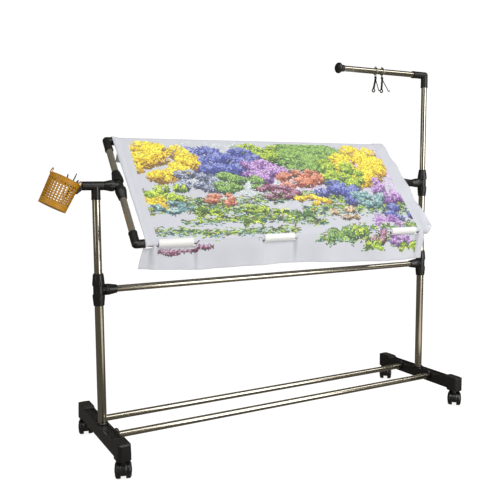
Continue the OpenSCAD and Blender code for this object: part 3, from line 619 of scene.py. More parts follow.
@dataclass
class Embroidery:
    """A generic bank of flowering shrubs, worked stitch by stitch on a fixed seed.

    Places are in metres on the flat cloth: x from the left end of the worked field, y up from its
    lower edge. Every motif is a cluster of short strokes laid on a grid of square stitches.
    """

    width: float
    height: float
    stitch: float = 0.003
    bare: Colour = linear("b7b9c0")
    seed: int = 23
    haze_at: float = 0.72
    haze_deep: float = 0.2
    haze_share: float = 0.75
    haze_left: Colour = linear("cfe0d2")
    haze_right: Colour = linear("c9b4d8")
    turf_density: float = 30000
    turf_long: Span = (0.004, 0.010)
    turf_half: float = 0.0019
    crown_density: float = 2200
    crown_shrub: Span = (0.20, 0.36)
    shrub_density: float = 150000
    leaf_long: Span = (0.004, 0.009)
    leaf_half: Span = (0.0016, 0.0026)
    blade_step: float = 0.12
    blade_long: float = 0.006
    blade_half: float = 0.0020

    def __post_init__(self) -> None:
        """Work the whole field once."""
        self.nx, self.ny = math.ceil(self.width / self.stitch), math.ceil(self.height / self.stitch)
        self.field = self.blank(self.nx, self.ny)
        self.rng = np.random.default_rng(self.seed)
        self._haze()
        self._turf()
        for crown in CROWNS:
            self._crown(*crown)
        for plant in SPRAYS:
            self._spray(*plant)
        speck = self.rng.uniform(0.45, 1.25, (self.nx, self.ny, 1))
        worked = self.field[..., 3:] > 0
        shade = np.where(worked, speck, 0.97 + 0.03 * speck)
        self.field[..., :3] = np.clip(self.field[..., :3] * shade, 0, 1)

    def blank(self, *shape: int) -> Array:
        """Give a block of bare stitches: the cloth's colour, and 0 for not worked."""
        return np.tile(np.array([*self.bare, 0.0]), (*shape, 1))

    def colours(self, x: Array, y: Array) -> Array:
        """Give the colour, and 1 where worked or 0 where bare, of the stitch at each place.

        Args:
            x: Places across the cloth.
            y: Places up the cloth.

        Returns:
            Array of shape (n, 4).
        """
        i, j = np.floor(x / self.stitch).astype(int), np.floor(y / self.stitch).astype(int)
        inside = (i >= 0) & (i < self.nx) & (j >= 0) & (j < self.ny)
        out = self.blank(len(x))
        out[inside] = self.field[i[inside], j[inside]]
        return out

    def _pick(self, tones: Sequence[Colour]) -> Array:
        """Draw one of the colours."""
        return np.array(tones[int(self.rng.integers(len(tones)))])

    def _stroke(self, x: float, y: float, turn: float, long: float, wide: float, colour: Array) -> None:
        """Lay one stroke: the stitches where (p/long)^2 + (q/wide)^2 < 1 on its own turned axes.

        Args:
            x: Place of its middle across the cloth.
            y: Place of its middle up the cloth.
            turn: Angle from level.
            long: Half its length.
            wide: Half its width.
            colour: Its colour.
        """
        reach = max(long, wide) + self.stitch
        i0, i1 = (int(np.clip((x + s * reach) / self.stitch, 0, self.nx)) for s in (-1, 1))
        j0, j1 = (int(np.clip((y + s * reach) / self.stitch, 0, self.ny)) for s in (-1, 1))
        if i0 >= i1 or j0 >= j1:
            return
        u, v = lattice(np.arange(i0, i1), np.arange(j0, j1))
        dx, dy = (u + 0.5) * self.stitch - x, (v + 0.5) * self.stitch - y
        p, q = dx * np.cos(turn) + dy * np.sin(turn), dy * np.cos(turn) - dx * np.sin(turn)
        shape = (p / long) ** 2 + (q / wide) ** 2 < 1
        self.field[i0:i1, j0:j1][shape] = [*colour, 1.0]

    def _haze(self) -> None:
        """Work a thin scatter of pale stitches over the upper right, denser downwards."""
        x, y = lattice(np.linspace(0, 1, self.nx), np.linspace(0, 1, self.ny))
        above = y - self.haze_at - 0.05 * np.sin(9 * x)
        band = np.exp(-(above / self.haze_deep) ** 2) * ease(x, 0.1, 0.45)
        right = ease(x, 0.35, 0.7)[..., None]
        tint = np.array(self.haze_right) * right + np.array(self.haze_left) * (1 - right)
        spots = self.rng.random((self.nx, self.ny)) < self.haze_share * band
        self.field[spots, :3], self.field[spots, 3] = tint[spots], 1.0

    def _turf(self) -> None:
        """Work banks of grass: short level strokes in bands that wave, with bare paths between."""
        for middle, deep, sway, start, end in BANKS:
            for _ in range(int(self.turf_density * deep * (end - start))):
                u, v = self.rng.uniform(start, end), self.rng.normal(0, 0.5)
                y = middle + sway * math.sin(9 * u + 20 * middle) + deep * v
                tones = TEAL_LEAF if self.rng.random() < 0.28 - 0.35 * v else GRASS
                tone = self._pick(tones)
                self._stroke(u * self.width, y * self.height, self.rng.normal(0.1, 0.3),
                             self.rng.uniform(*self.turf_long), self.turf_half,
                             tone * self.rng.uniform(0.75, 1.1))

    def _crown(self, u: float, v: float, wide: float, tall: float, tones: Sequence[Colour],
               lean: float) -> None:
        """Work a tree or hedge as many small shrubs that run into each other.

        Args:
            u: Place of its middle, as a share of the field's width.
            v: Place of its middle, as a share of the field's height.
            wide: Half its width.
            tall: Half its height.
            tones: Colours from the shade to the light.
            lean: Turn of its strokes.
        """
        count = 5 + int(self.crown_density * wide * tall)
        rise = np.sort(self.rng.uniform(-0.85, 0.9, count))[::-1]
        reach = np.sqrt(1 - rise * rise) * self.rng.uniform(-0.95, 0.95, count)
        for dx, dy in zip(reach, rise):
            size = self.rng.uniform(*self.crown_shrub)
            self._shrub(u + wide * dx / self.width, v + 0.85 * tall * dy / self.height,
                        size * wide, 1.15 * size * tall, tones, lean + 0.7 * dx)

    def _shrub(self, u: float, v: float, wide: float, tall: float, tones: Sequence[Colour],
               lean: float) -> None:
        """Work one rounded shrub of many strokes, dark below and bright above.

        Args:
            u: Place of its middle, as a share of the field's width.
            v: Place of its middle, as a share of the field's height.
            wide: Half its width.
            tall: Half its height.
            tones: Colours from the shade to the light.
            lean: Turn of its strokes.
        """
        count = 14 + int(self.shrub_density * wide * tall)
        for k in range(count):
            rise = 2 * k / count - 1
            edge = math.sqrt(max(0.0, 1 - rise * rise))
            x = u * self.width + wide * edge * self.rng.uniform(-1.05, 1.05)
            y = v * self.height + tall * rise + self.rng.normal(0, 0.08 * tall)
            light = (rise + 1) / 2 * len(tones) - 0.3 + self.rng.normal(0, 0.85)
            pick = int(np.clip(light, 0, len(tones) - 1))
            turn = lean + self.rng.normal(0, 0.5) + 0.6 * (x - u * self.width) / wide
            self._stroke(x, y, turn, self.rng.uniform(*self.leaf_long), self.rng.uniform(*self.leaf_half),
                         np.array(tones[pick]) * self.rng.uniform(0.85, 1.12))

    def _spray(self, u: float, v: float, long: float, tones: Sequence[Colour], count: int) -> None:
        """Work a fan of arching blades that start from one place.

        Args:
            u: Place of its foot, as a share of the field's width.
            v: Place of its foot, as a share of the field's height.
            long: Length of its blades.
            tones: Colours to choose from.
            count: Number of blades.
        """
        for _ in range(count):
            turn = self.rng.uniform(0.25, math.pi - 0.25)
            reach = long * self.rng.uniform(0.55, 1.0)
            tone = self._pick(tones) * self.rng.uniform(0.8, 1.15)
            for step in np.arange(0, 1, self.blade_step):
                bend = turn + (0.9 if turn < math.pi / 2 else -0.9) * -step * step
                self._stroke(u * self.width + reach * step * math.cos(bend),
                             v * self.height + reach * step * math.sin(bend),
                             bend, self.blade_long, self.blade_half - 0.0006 * step, tone)


LIME = palette("27401a", "4f741f", "86a82a", "c2d548")
LEAF = palette("1d3522", "37602c", "639040", "98bd5e")
SLATE = palette("252b42", "454f6c", "6f7c98", "b6bdcd")
SUN = palette("7a5a0a", "cfa305", "e6cb0a", "f2e33c")
CORAL = palette("5f2619", "a04a30", "c77152", "e0a082")
ROYAL = palette("171b4c", "27368a", "4450ab", "8791cc")
LILAC = palette("3f2252", "72408e", "a06fb8", "ccaad9")
WINE = palette("2a0e1c", "531c34", "84395f", "b58aa4")
TEAL_LEAF = palette("1c444b", "346a72", "6a9a9c", "a9c4c2")
EARTH = palette("4a3826", "80643f", "b39468", "d4c39f")
GRASS = (*LIME, *LEAF[1:], LIME[2], EARTH[1])

# Height, depth, sway, start and end of each bank of grass, as shares of the field.
BANKS = (
    (0.44, 0.05, 0.03, 0.0, 1.0), (0.33, 0.05, 0.03, 0.0, 0.42), (0.34, 0.06, 0.02, 0.55, 1.0),
    (0.24, 0.035, 0.02, 0.10, 0.62), (0.19, 0.03, 0.02, 0.70, 1.0), (0.15, 0.035, 0.012, 0.0, 0.5),
    (0.09, 0.03, 0.01, 0.56, 1.0))

# What _crown and _spray take, in their order: places as shares of the field, sizes in metres.
CROWNS = (
    (0.64, 0.84, 0.180, 0.076, LEAF, 0.2), (0.48, 0.90, 0.096, 0.044, LIME, 0.4),
    (0.30, 0.82, 0.138, 0.068, ROYAL, 0.3), (0.09, 0.78, 0.102, 0.083, SUN, 0.5),
    (0.89, 0.76, 0.114, 0.091, SUN, 0.7), (0.45, 0.70, 0.090, 0.059, LILAC, 0.2),
    (0.77, 0.68, 0.090, 0.063, LIME, 0.4), (0.19, 0.60, 0.084, 0.051, SLATE, 0.6),
    (0.60, 0.62, 0.084, 0.051, CORAL, 0.2), (0.34, 0.58, 0.090, 0.046, LEAF, 0.2),
    (0.95, 0.52, 0.060, 0.061, LILAC, 0.8), (0.06, 0.50, 0.072, 0.044, LIME, 0.6),
    (0.72, 0.50, 0.085, 0.050, ROYAL, 0.3), (0.48, 0.50, 0.078, 0.032, WINE, 0.0),
    (0.85, 0.44, 0.066, 0.039, TEAL_LEAF, 0.5), (0.25, 0.44, 0.060, 0.029, CORAL, 0.3),
    (0.60, 0.42, 0.060, 0.027, SUN, 0.1), (0.10, 0.36, 0.072, 0.027, TEAL_LEAF, 0.1),
    (0.38, 0.36, 0.060, 0.024, LIME, 0.1), (0.95, 0.30, 0.054, 0.041, ROYAL, 0.6),
    (0.72, 0.30, 0.066, 0.029, EARTH, 0.4), (0.09, 0.034, 0.100, 0.014, WINE, 0.5),
    (0.74, 0.14, 0.054, 0.024, LIME, 0.4), (0.95, 0.12, 0.060, 0.034, LILAC, 0.5),
    (0.85, 0.09, 0.054, 0.024, WINE, 0.5))
SPRAYS = (
    (0.20, 0.30, 0.050, LIME, 60), (0.54, 0.27, 0.050, LEAF, 56), (0.34, 0.22, 0.036, LIME, 40),
    (0.88, 0.22, 0.060, LILAC[1:], 64), (0.66, 0.10, 0.060, LEAF, 70), (0.97, 0.03, 0.050, LIME, 50),
    (0.46, 0.30, 0.036, LIME, 34), (0.02, 0.40, 0.050, SUN[1:], 34), (0.80, 0.02, 0.045, LIME, 40))


# Sub-assemblies


def centre(node: str) -> Array:
    """Middle of a node's box at rest."""
    low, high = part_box(node)
    return (np.asarray(low) + np.asarray(high)) / 2


def dress(material: Material, *nodes: str) -> None:
    """Give CAD nodes one material.

    Args:
        material: Finish to use.
        nodes: Names of the nodes.
    """
    for node in nodes:
        piece = bpy.data.objects[node]
        piece.data.materials.clear()
        piece.data.materials.append(material)
    log.info("%s on %s", material.name, ", ".join(nodes))


def place_piece(piece: Piece, material: Material, body: str,
                nodes: Sequence[str] = ()) -> None:
    """Dress a new piece, let it ride on a body and hide the CAD nodes that it stands for.

    Args:
        piece: The piece.
        material: Its finish.
        body: Body that it moves with.
        nodes: CAD nodes that it replaces.
    """
    piece.data.materials.append(material)
    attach(piece, body)
    if nodes:
        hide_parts(*nodes)
    log.info("%s rides on %s", piece.name, body)


@dataclass
class Frame:
    """Places of the tilting frame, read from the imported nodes."""

    bar_r: float = 0.0095
    fitting_r: float = 0.0124
    leg: float = 0.025
    tee_half: float = 0.048
    nut_r: float = 0.016

    def __post_init__(self) -> None:
        """Work out the frame's lean and its own axes."""
        self.top, self.low = centre("top_bar"), centre("bottom_bar")
        rise = self.top - self.low
        self.lean = math.atan2(rise[1], rise[2])
        self.length = float(np.hypot(rise[1], rise[2]))
        self.left, self.right = centre("arm_left")[0], centre("arm_right")[0]
        self.tilt_z = float(centre("pivot_stubs")[2])
        self.down = (self.tilt_z - self.low[2]) / math.cos(self.lean)
        self.to_world = (Matrix.Translation((0, 0, self.tilt_z))
                         @ Matrix.Rotation(-self.lean, 4, "X"))


@dataclass
class Cloth:
    """The stretched panel with its front and back flaps.

    Across the panel x runs along the bars. Along it s runs from under the bottom bar, up the front
    and over the top bar. The panel's distance from the plane of the bars grows at its right margin,
    where it lies over the elbows and the arm tee.
    """

    frame: Frame
    thick: float = 0.0008
    seat: float = 0.0004
    cell: float = 0.003
    rise_width: float = 0.013
    lap_low: float = 0.003
    lap_top: float = 0.012
    past_low: float = 0.019
    past_top: float = 0.013
    pull_top: float = 0.020
    corner_out: float = 0.010
    corner_hold: float = 0.15
    wrap_low: float = math.radians(80)
    wrap_top: float = math.radians(175)
    margin_side: float = 0.034
    margin_right: float = 0.048
    margin_top: float = 0.006
    drop_left: float = 0.030
    drop_right: float = 0.072
    flap_left: float = 0.068
    flap_right: float = 0.097
    flap_over: float = 0.019
    flap_past: float = 0.019
    flap_taper: float = 0.013
    back_drop: float = 0.062
    fold: float = 0.0095
    bar_gap: float = 0.0008
    clip_gap: float = 0.0018
    elbow_gap: float = 0.0042
    pull_wave: float = 0.0006
    broad_wave: float = 0.0005
    loose_wave: float = 0.0018
    hem_wave: float = 0.004
    back_wave: float = 0.005
    show_through: float = 0.3
    clip_starts: tuple[float, ...] = (0.036, 0.365, 0.8434)
    clip_len: float = 0.102
    clip_pull: float = 0.016

    def __post_init__(self) -> None:
        """Work out the panel's edges and its worked field."""
        self.x0 = self.frame.left + self.frame.leg + 0.0006
        self.x1 = self.frame.right + self.past_top
        self.rise_top = self.frame.right - self.frame.leg - 0.001
        self.rise_at = self.rise_top - self.rise_width
        self.inner = self.frame.bar_r + self.seat
        self.turn_low = self.inner * self.wrap_low
        self.turn_top = self.inner * self.wrap_top
        self.long = self.turn_low + self.frame.length + self.turn_top
        self.art = Embroidery(self.x1 - self.x0 - self.margin_side - self.margin_right,
                              self.drop_right + self.frame.length - self.margin_top)

    def off(self, x: Array, z: Array) -> Array:
        """Distance of the panel's back from the plane of the bars.

        It rises over the elbows at both ends and over the right arm's tee, and the loose lower
        right corner stands out a little.

        Args:
            x: Places along the bars.
            z: Heights in the frame's own axes, from the tilt axis.

        Returns:
            The distances.
        """
        rest = self.frame.fitting_r + self.seat - self.inner
        tee = self.frame.nut_r - self.frame.fitting_r + self.seat
        near = 1 - ease(np.abs(z), self.frame.tee_half + 0.005, self.frame.tee_half + 0.045)
        over_left = 1 - ease(x, self.x0 + 0.001, self.x0 + 0.010)
        side = np.maximum(ease(x, self.rise_at, self.rise_top), over_left)
        over_tee = ease(x, self.rise_top, self.x1) * near
        corner = ease(x, self.rise_top, self.frame.right) * (1 - ease(z + self.frame.down, 0, 0.13))
        return self.inner + rest * side + tee * over_tee + self.corner_out * corner

    def skewed(self, x: Array, s: Array) -> Array:
        """Move the side margins so that the cloth is a little askew: x + (top(x) - x) t.

        Args:
            x: Places along the bars.
            s: Places along the cloth.

        Returns:
            The moved places along the bars.
        """
        t = np.clip((s - self.turn_low) / self.frame.length, 0, 1)
        left, right = self.x0 + 0.001, self.frame.right + self.past_low
        pull_left = (x - left) * ((self.lap_top + 0.001) / (self.lap_low + 0.001) - 1)
        pull_right = (x - self.rise_top) * ((self.x1 - self.rise_top) / (right - self.rise_top) - 1)
        round_top = ease(s - self.turn_low - self.frame.length, -0.002, self.turn_top * 0.8)
        gather = self.pull_top * round_top * np.clip((x - self.rise_top) / (right - self.rise_top), 0, 1)
        pull = np.where(x < left, pull_left, 0) + np.where(x > self.rise_top, pull_right, 0)
        return x + t * pull - gather

    def spot(self, x: Array, down: Array) -> tuple[Array, Array]:
        """Find the place on the flat design.

        Args:
            x: Places along the bars.
            down: Lengths of cloth below the bottom bar, negative above it.

        Returns:
            Places across and up the design.
        """
        share = np.clip((x - self.x0) / (self.x1 - self.x0), 0, 1)
        drop = self.drop_left + (self.drop_right - self.drop_left) * share
        rise = self.frame.length - self.margin_top
        return x - self.x0 - self.margin_side, self.art.height * (drop - down) / (drop + rise)

    def slack(self, x: Array, s: Array) -> Array:
        """Small outward waves: pulled lines near the clips and soft ones in the loose right edge.

        Args:
            x: Places along the bars.
            s: Places along the cloth.

        Returns:
            Heights of the waves.
        """
        t = (s - self.turn_low) / self.frame.length
        flat = ease(t, 0.0, 0.06) * (1 - ease(t, 0.94, 1.0))
        pulls = self.pull_wave * (1 + np.sin(x * 47 + 2 * np.sin(t * 7))) * (1 - ease(t, 0.02, 0.5))
        broad = self.broad_wave * (1 + np.sin(x * 11 + 4 * t))
        loose = self.loose_wave * (1 + np.sin(t * 23 + x * 20)) * ease(x, self.rise_at, self.x1)
        return flat * (pulls + broad + loose)

    def panel_points(self, x: Array, s: Array, out: float) -> Array:
        """Places on the panel, out metres from its back.

        With r the distance from the bars' plane: round a bar the point is the bar's axis plus r
        times (-cos a, sin a) in Y and Z of the frame; between them it is (-r, height). The turn
        round the bottom bar runs out past the right elbow, which leaves a pointed corner.

        Args:
            x: Places along the bars.
            s: Places along the cloth.
            out: Distance from the cloth's back.

        Returns:
            Points in world axes.
        """
        z = np.clip(s - self.turn_low, 0, self.frame.length) - self.frame.down
        past = np.clip((x - self.frame.right) / self.past_low, 0, 1)
        low = np.clip((self.turn_low - s) / self.inner, 0, None) * (1 - (1 - self.corner_hold) * past)
        top = np.clip((s - self.turn_low - self.frame.length) / self.inner, 0, None)
        x = self.skewed(x, s)
        r = self.off(x, z) + self.slack(x, s) + out
        a = top - low
        local = as_points(x, -r * np.cos(a), z + r * np.sin(a))
        m = np.asarray(self.frame.to_world)
        return local @ m[:3, :3].T + m[:3, 3]

    def sheet(self, name: str, x: Array, s: Array, place: Callable[[float], Array],
              turned: bool = False) -> Piece:
        """Build one closed sheet with its stitch colours and its flat map.

        The front and back are the same grid, a thickness apart, and the rim joins them.

        Args:
            name: Name of the piece.
            x: Grid of places across the cloth, for the design.
            s: Grid of places down the cloth from the bottom bar, for the design.
            place: Gives the grid of points at a distance from the back.
            turned: The worked side faces the rear.

        Returns:
            The piece.
        """
        front, back = place(self.thick), place(0.0)
        nu, nv = x.shape
        both = Surface().grid(front).grid(back, flip=True)
        edge = np.concatenate([np.arange(nv), np.arange(1, nu) * nv + nv - 1,
                               (nu - 1) * nv + np.arange(nv - 2, -1, -1), np.arange(nu - 2, 0, -1) * nv])
        after = np.roll(edge, -1)
        rim = np.stack([edge, after, after + nu * nv, edge + nu * nv], -1)
        quads = np.concatenate([*both.quads, rim])
        piece = make_piece(name, np.concatenate(both.points), quads, FINE_MERGE)
        mesh = piece.data
        flat_x, flat_s = np.tile(x.ravel(), 2), np.tile(s.ravel(), 2)
        corner = np.empty(len(mesh.loops), np.int32)
        mesh.loops.foreach_get("vertex_index", corner)
        uv = mesh.uv_layers.new(name=CLOTH_UV)
        spots = np.stack([flat_x[corner], flat_s[corner]], -1)
        uv.data.foreach_set("uv", spots.astype(np.float32).ravel())
        faces = np.repeat(np.arange(len(corner) // 4), 4)
        mid_x = np.bincount(faces, flat_x[corner]) / 4
        mid_s = np.bincount(faces, flat_s[corner]) / 4
        side = np.bincount(faces, corner >= nu * nv) / 4
        tone = self.art.colours(*self.spot(mid_x, mid_s))
        behind = (side < 0.5) if turned else (side > 0.5)
        faint = (1 - self.show_through) * self.art.blank(1) + self.show_through * tone
        tone = np.where(behind[:, None], faint, tone)
        colour = mesh.color_attributes.new(STITCH_COLOUR, "FLOAT_COLOR", "CORNER")
        colour.data.foreach_set("color", np.repeat(tone, 4, axis=0).astype(np.float32).ravel())
        return piece

    def between_clips(self, x: Array) -> Array:
        """Tell the clips from the free cloth between them.

        Args:
            x: Places along the bar.

        Returns:
            Shares from 0 under a clip to 1 between the clips.
        """
        free = np.ones_like(x)
        for start in self.clip_starts:
            a = self.x0 + start
            free -= ease(x, a - self.clip_pull, a) \
                - ease(x, a + self.clip_len, a + self.clip_len + self.clip_pull)
        return np.clip(free, 0, 1)

    def hang(self, x: Array, t: Array, axis: Array, drop: Array, side: float, out: float) -> Array:
        """Places on a flap that hangs from a bar.

        The upper edge lies on a circle round the bar, at an angle that goes from straight down
        under a clip to level between the clips. From there the cloth falls plumb, with folds that
        grow downwards as a sum of two waves. The left end is drawn in at the bar.

        Args:
            x: Places along the bar.
            t: Share of the way down, from 0 to 1.
            axis: Point on the bar's axis.
            drop: Length below the axis.
            side: -1 in front of the bar, 1 behind it.
            out: Distance from the cloth's back.

        Returns:
            Points in world axes.
        """
        free = self.between_clips(x) * ease(x, self.x0 + 0.004, self.x0 + 0.028)
        past = 1 - ease(x, self.x0 - 0.004, self.x0 + 0.004)
        right = ease(x, self.rise_at - 0.004, self.rise_top)
        held = np.maximum(1 - free, past)
        r = self.inner + self.thick + self.bar_gap + self.clip_gap * held + self.elbow_gap * right
        a = free * math.pi / 2
        u = (x - x.min()) / (x.max() - x.min())
        wave = 0.7 * np.sin(u * 26.2 + 0.7 * t) + 0.3 * np.sin(u * 57.6 + 1.4)
        y = side * r * np.sin(a) * (1 - 0.6 * ease(t, 0.1, 1.0)) + self.fold * t * wave + side * out
        z0 = -r * np.cos(a)
        taper = self.flap_taper * (1 - ease(x, self.x0 - self.flap_over, self.x0 + 0.030)) * (1 - t) ** 1.5
        return as_points(x + taper, axis[1] + y, axis[2] + z0 + (-drop - z0) * t)

    def front_drop(self, x: Array) -> Array:
        """Find how far the front flap hangs: further to the right, with a soft wave.

        Args:
            x: Places along the bar.

        Returns:
            Lengths below the bar's axis.
        """
        u = (x - x.min()) / (x.max() - x.min())
        wave = self.hem_wave * np.sin(9.4 * u)
        return self.flap_left + (self.flap_right - self.flap_left) * u ** 0.8 + wave

    def build(self) -> None:
        """Make the panel and both flaps."""
        cloth = CLOTH.make()
        low, high = self.x0 - self.lap_low, self.frame.right + self.past_low
        nx, ns = round((high - low) / self.cell), round(self.long / self.cell)
        x, s = lattice(np.linspace(low, high, nx), np.linspace(0, self.long, ns))
        panel = self.sheet("stretched_cloth", x, self.turn_low - s,
                           lambda out: self.panel_points(x, s, out))
        place_piece(panel, cloth, "tilting_frame", ["cloth_panel"])
        wide = (high - low + self.x1 - self.x0 + self.lap_top) / 2
        self.flap("front_flap", cloth, self.x0 - self.flap_over, self.rise_top + self.flap_past,
                  self.frame.low, self.front_drop, -1)
        self.flap("back_flap", cloth, self.x0 + 0.002, self.rise_at - 0.001, self.frame.top,
                  lambda x: self.back_drop + self.back_wave * np.sin(x * 13), 1)

    def flap(self, body: str, cloth: Material, xa: float, xb: float, axis: Array,
             drop: Callable[[Array], Array], side: float) -> None:
        """Make one hanging flap.

        Args:
            body: Body that carries the flap.
            cloth: Its finish.
            xa: Left end.
            xb: Right end.
            axis: Point on the bar's axis.
            drop: Gives the length below the axis along the bar.
            side: -1 in front of the bar, 1 behind it.
        """
        nx, nt = round((xb - xa) / self.cell), 24
        x, t = lattice(np.linspace(xa, xb, nx), np.linspace(0, 1, nt)[::-1])
        down = drop(x)
        s = t * down if side < 0 else np.full_like(x, OFF_DESIGN)
        piece = self.sheet(f"hanging_{body}", x, s, lambda out: self.hang(x, t, axis, down, side, out),
                           turned=side > 0)
        place_piece(piece, cloth, body, [f"cloth_{body}"])
        xb - xa


@dataclass
class FootTrim:
    """Raised rims, ridges and bosses moulded on a foot."""

    name: str
    x: float
    inward: int
    bar_y: float
    bar_z: float = 0.084
    top: float = 0.097
    block_top: float = 0.103
    half: float = 0.203
    block: float = 0.058
    rim_half: float = 0.0158
    rim_in: float = 0.004
    rim_out: float = 0.0052
    end_round: float = 0.011
    step_round: float = 0.003
    sink: float = 0.0002
    trough: float = 0.0954
    bead: float = 0.0012
    ridge_span: Span = (0.022, 0.140)
    ridge_lift: float = 0.0003
    rib: float = 0.0009
    rib_span: Span = (0.034, 0.134)
    rib_step: float = 0.0165
    rib_half: float = 0.0098
    boss_r: float = 0.0078
    boss_rise: float = 0.009
    boss_in: float = 0.0175
    ring_in: float = 0.0188
    collar: Profile = ((0.0128, 0.0960), (0.0168, 0.0960), (0.0172, 0.0985), (0.0160, 0.1002),
                       (0.0128, 0.1004))
    ring: Profile = ((0.0097, -0.001), (0.0124, -0.001), (0.0124, 0.0045), (0.0112, 0.0058),
                     (0.0097, 0.0058))

    def build(self, skin: Material) -> None:
        """Make the trim and let it ride on the base.

        Args:
            skin: Finish of the foot.
        """
        trim = Surface()
        for end in (-1, 1):
            self._rim(trim, end)
            self._boss(trim, end * self.bar_y)
        self._ridges(trim)
        trim.turned(self.collar, (self.x, 0, 0), steps=40)
        place_piece(trim.build(f"trim_{self.name}"), skin, "base")

    def _rim(self, trim: Surface, end: int) -> None:
        """Lay a bead round the top of one end block: four arcs joined by straight runs.

        Args:
            trim: Surface that takes the bead.
            end: -1 for the front block, 1 for the rear one.
        """
        z = self.block_top - self.sink
        inner = self.half - self.block + self.rim_in
        outer = self.half - self.rim_out
        corners = ((1, inner, self.step_round, -90, 0), (1, outer, self.end_round, 0, 90),
                   (-1, outer, self.end_round, 90, 180), (-1, inner, self.step_round, 180, 270))
        runs = []
        for side, y, r, start, stop in corners:
            inset = r if y == outer else -r
            middle = (self.x + side * (self.rim_half - r), end * (y - inset), z)
            runs.append(arc(middle, r, start, stop, X, (0, end, 0)))
        trim.swept(np.concatenate(runs), self.bead, 10, closed=True)

    def _boss(self, trim: Surface, y: float) -> None:
        """Stand a domed boss over the end of a low bar and a collar round it, at the inner face.

        Args:
            trim: Surface that takes the boss.
            y: Place of the bar.
        """
        dome = [(self.boss_r * math.cos(a), self.top - 0.002 + self.boss_rise * math.sin(a))
                for a in np.radians(np.arange(0, 91, 15))]
        foot = (self.boss_r, self.bar_z + 0.002)
        trim.turned([foot, *dome], (self.x + self.inward * self.boss_in, y, 0), steps=28)
        face = (self.x + self.inward * self.ring_in, y, self.bar_z)
        trim.turned(self.ring, face, (self.inward, 0, 0), 36)

    def _ridges(self, trim: Surface) -> None:
        """Lay long ridges and short cross ribs along the trough on both sides of the upright.

        Args:
            trim: Surface that takes them.
        """
        rib_x = self.x + self.rib_half * np.array((-1, 0, 1))
        for end in (-1, 1):
            y = np.linspace(*self.ridge_span, 8) * end
            for across, z in ((0.0112, self.top), (0.0045, self.trough)):
                for side in (-1, 1):
                    path = as_points(self.x + side * across, y, z + self.ridge_lift)
                    trim.swept(path, self.bead, 8)
            for at in np.arange(*self.rib_span, self.rib_step):
                trim.swept(as_points(rib_x, end * at, self.trough + self.sink), self.rib, 8)


@dataclass
class CasterTrim:
    """Shield and rims of a caster's hood, and the hubs of its two wheels.

    The shapes are made about the axle, with X away from the stem, and then turned with the caster.
    """

    corner: str
    hood_r: float = 0.028
    wheel_r: float = 0.023
    hood_half: float = 0.017
    pair_half: float = 0.0215
    bead: float = 0.0012
    lip: float = 0.0016
    lip_half: float = 0.0158
    tread_ring: float = 0.0158
    tread_wire: float = 0.0007
    shield_from: float = 122.0
    shield_turn: float = 66.0
    shield_rise: float = 0.0018
    shield_half: float = 0.0105
    shield_taper: float = 0.0028
    sink: float = 0.0006
    port_at: float = 146.0
    port: Profile = ((0.0, 0.0004), (0.0024, 0.0004), (0.0028, 0.0018), (0.0042, 0.0018), (0.0046, 0.0))
    cap: Profile = ((0.0108, -0.001), (0.0108, 0.0004), (0.0092, 0.0012), (0.0045, 0.0018), (0.0, 0.0019))

    def build(self, skin: Material) -> None:
        """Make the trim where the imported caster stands.

        Args:
            skin: Finish of the hood and the hubs.
        """
        axle = centre(f"caster_wheels_{self.corner}")
        turn = math.atan2(axle[1] - math.copysign(CASTER_Y, axle[1]),
                          axle[0] - math.copysign(HALF_SPAN, axle[0]))
        spot = Matrix.Translation((*axle[:2], self.wheel_r)) @ Matrix.Rotation(turn, 4, "Z")
        log.info("caster %s turned %.0f degrees", self.corner, math.degrees(turn))
        hood = self._hood().moved(spot).build(f"hood_trim_{self.corner}")
        place_piece(hood, skin, f"caster_{self.corner}")
        hubs = self._hubs().moved(spot).build(f"wheel_hubs_{self.corner}")
        place_piece(hubs, skin, f"wheels_{self.corner}")

    def _hood(self) -> Surface:
        """Lay beads round the hood's open edges and a raised shield with a round port on its front.

        Returns:
            The trim about the axle.
        """
        trim = Surface()
        for side in (-1, 1):
            middle = (0, side * (self.hood_half - self.sink), 0)
            trim.swept(arc(middle, self.hood_r - 0.0008, -10, 190, X, Z, 40), self.bead, 10)
        y = np.linspace(-self.lip_half, self.lip_half, 8)
        for a in np.radians((-11, 191)):
            r = self.hood_r - self.bead
            trim.swept(as_points(r * np.cos(a), y, r * np.sin(a)), self.lip, 10)
        u, v = lattice(np.linspace(-1, 1, 25), np.linspace(0, 1, 25))
        rise = self.shield_rise * np.clip(1 - u ** 4, 0, 1) * np.clip(1 - (2 * v - 1) ** 6, 0, 1)
        r, a = self.hood_r - self.sink + rise, np.radians(self.shield_from + self.shield_turn * v)
        wide = self.shield_half - self.shield_taper * v
        trim.grid(as_points(r * np.cos(a), wide * u, r * np.sin(a)))
        a = math.radians(self.port_at)
        way = np.array([math.cos(a), 0, math.sin(a)])
        return trim.turned(self.port, way * (self.hood_r + self.sink), way, 24)

    def _hubs(self) -> Surface:
        """Turn a domed hub and a raised ring on the outer face of each wheel.

        Returns:
            The hubs about the axle.
        """
        hubs = Surface()
        for side in (-1, 1):
            face = (0, side * self.pair_half, 0)
            hubs.turned(self.cap, face, (0, side, 0), 32)
            hubs.ring(face, self.tread_ring, self.tread_wire, (X, Z), 352, 44, 8)
        return hubs


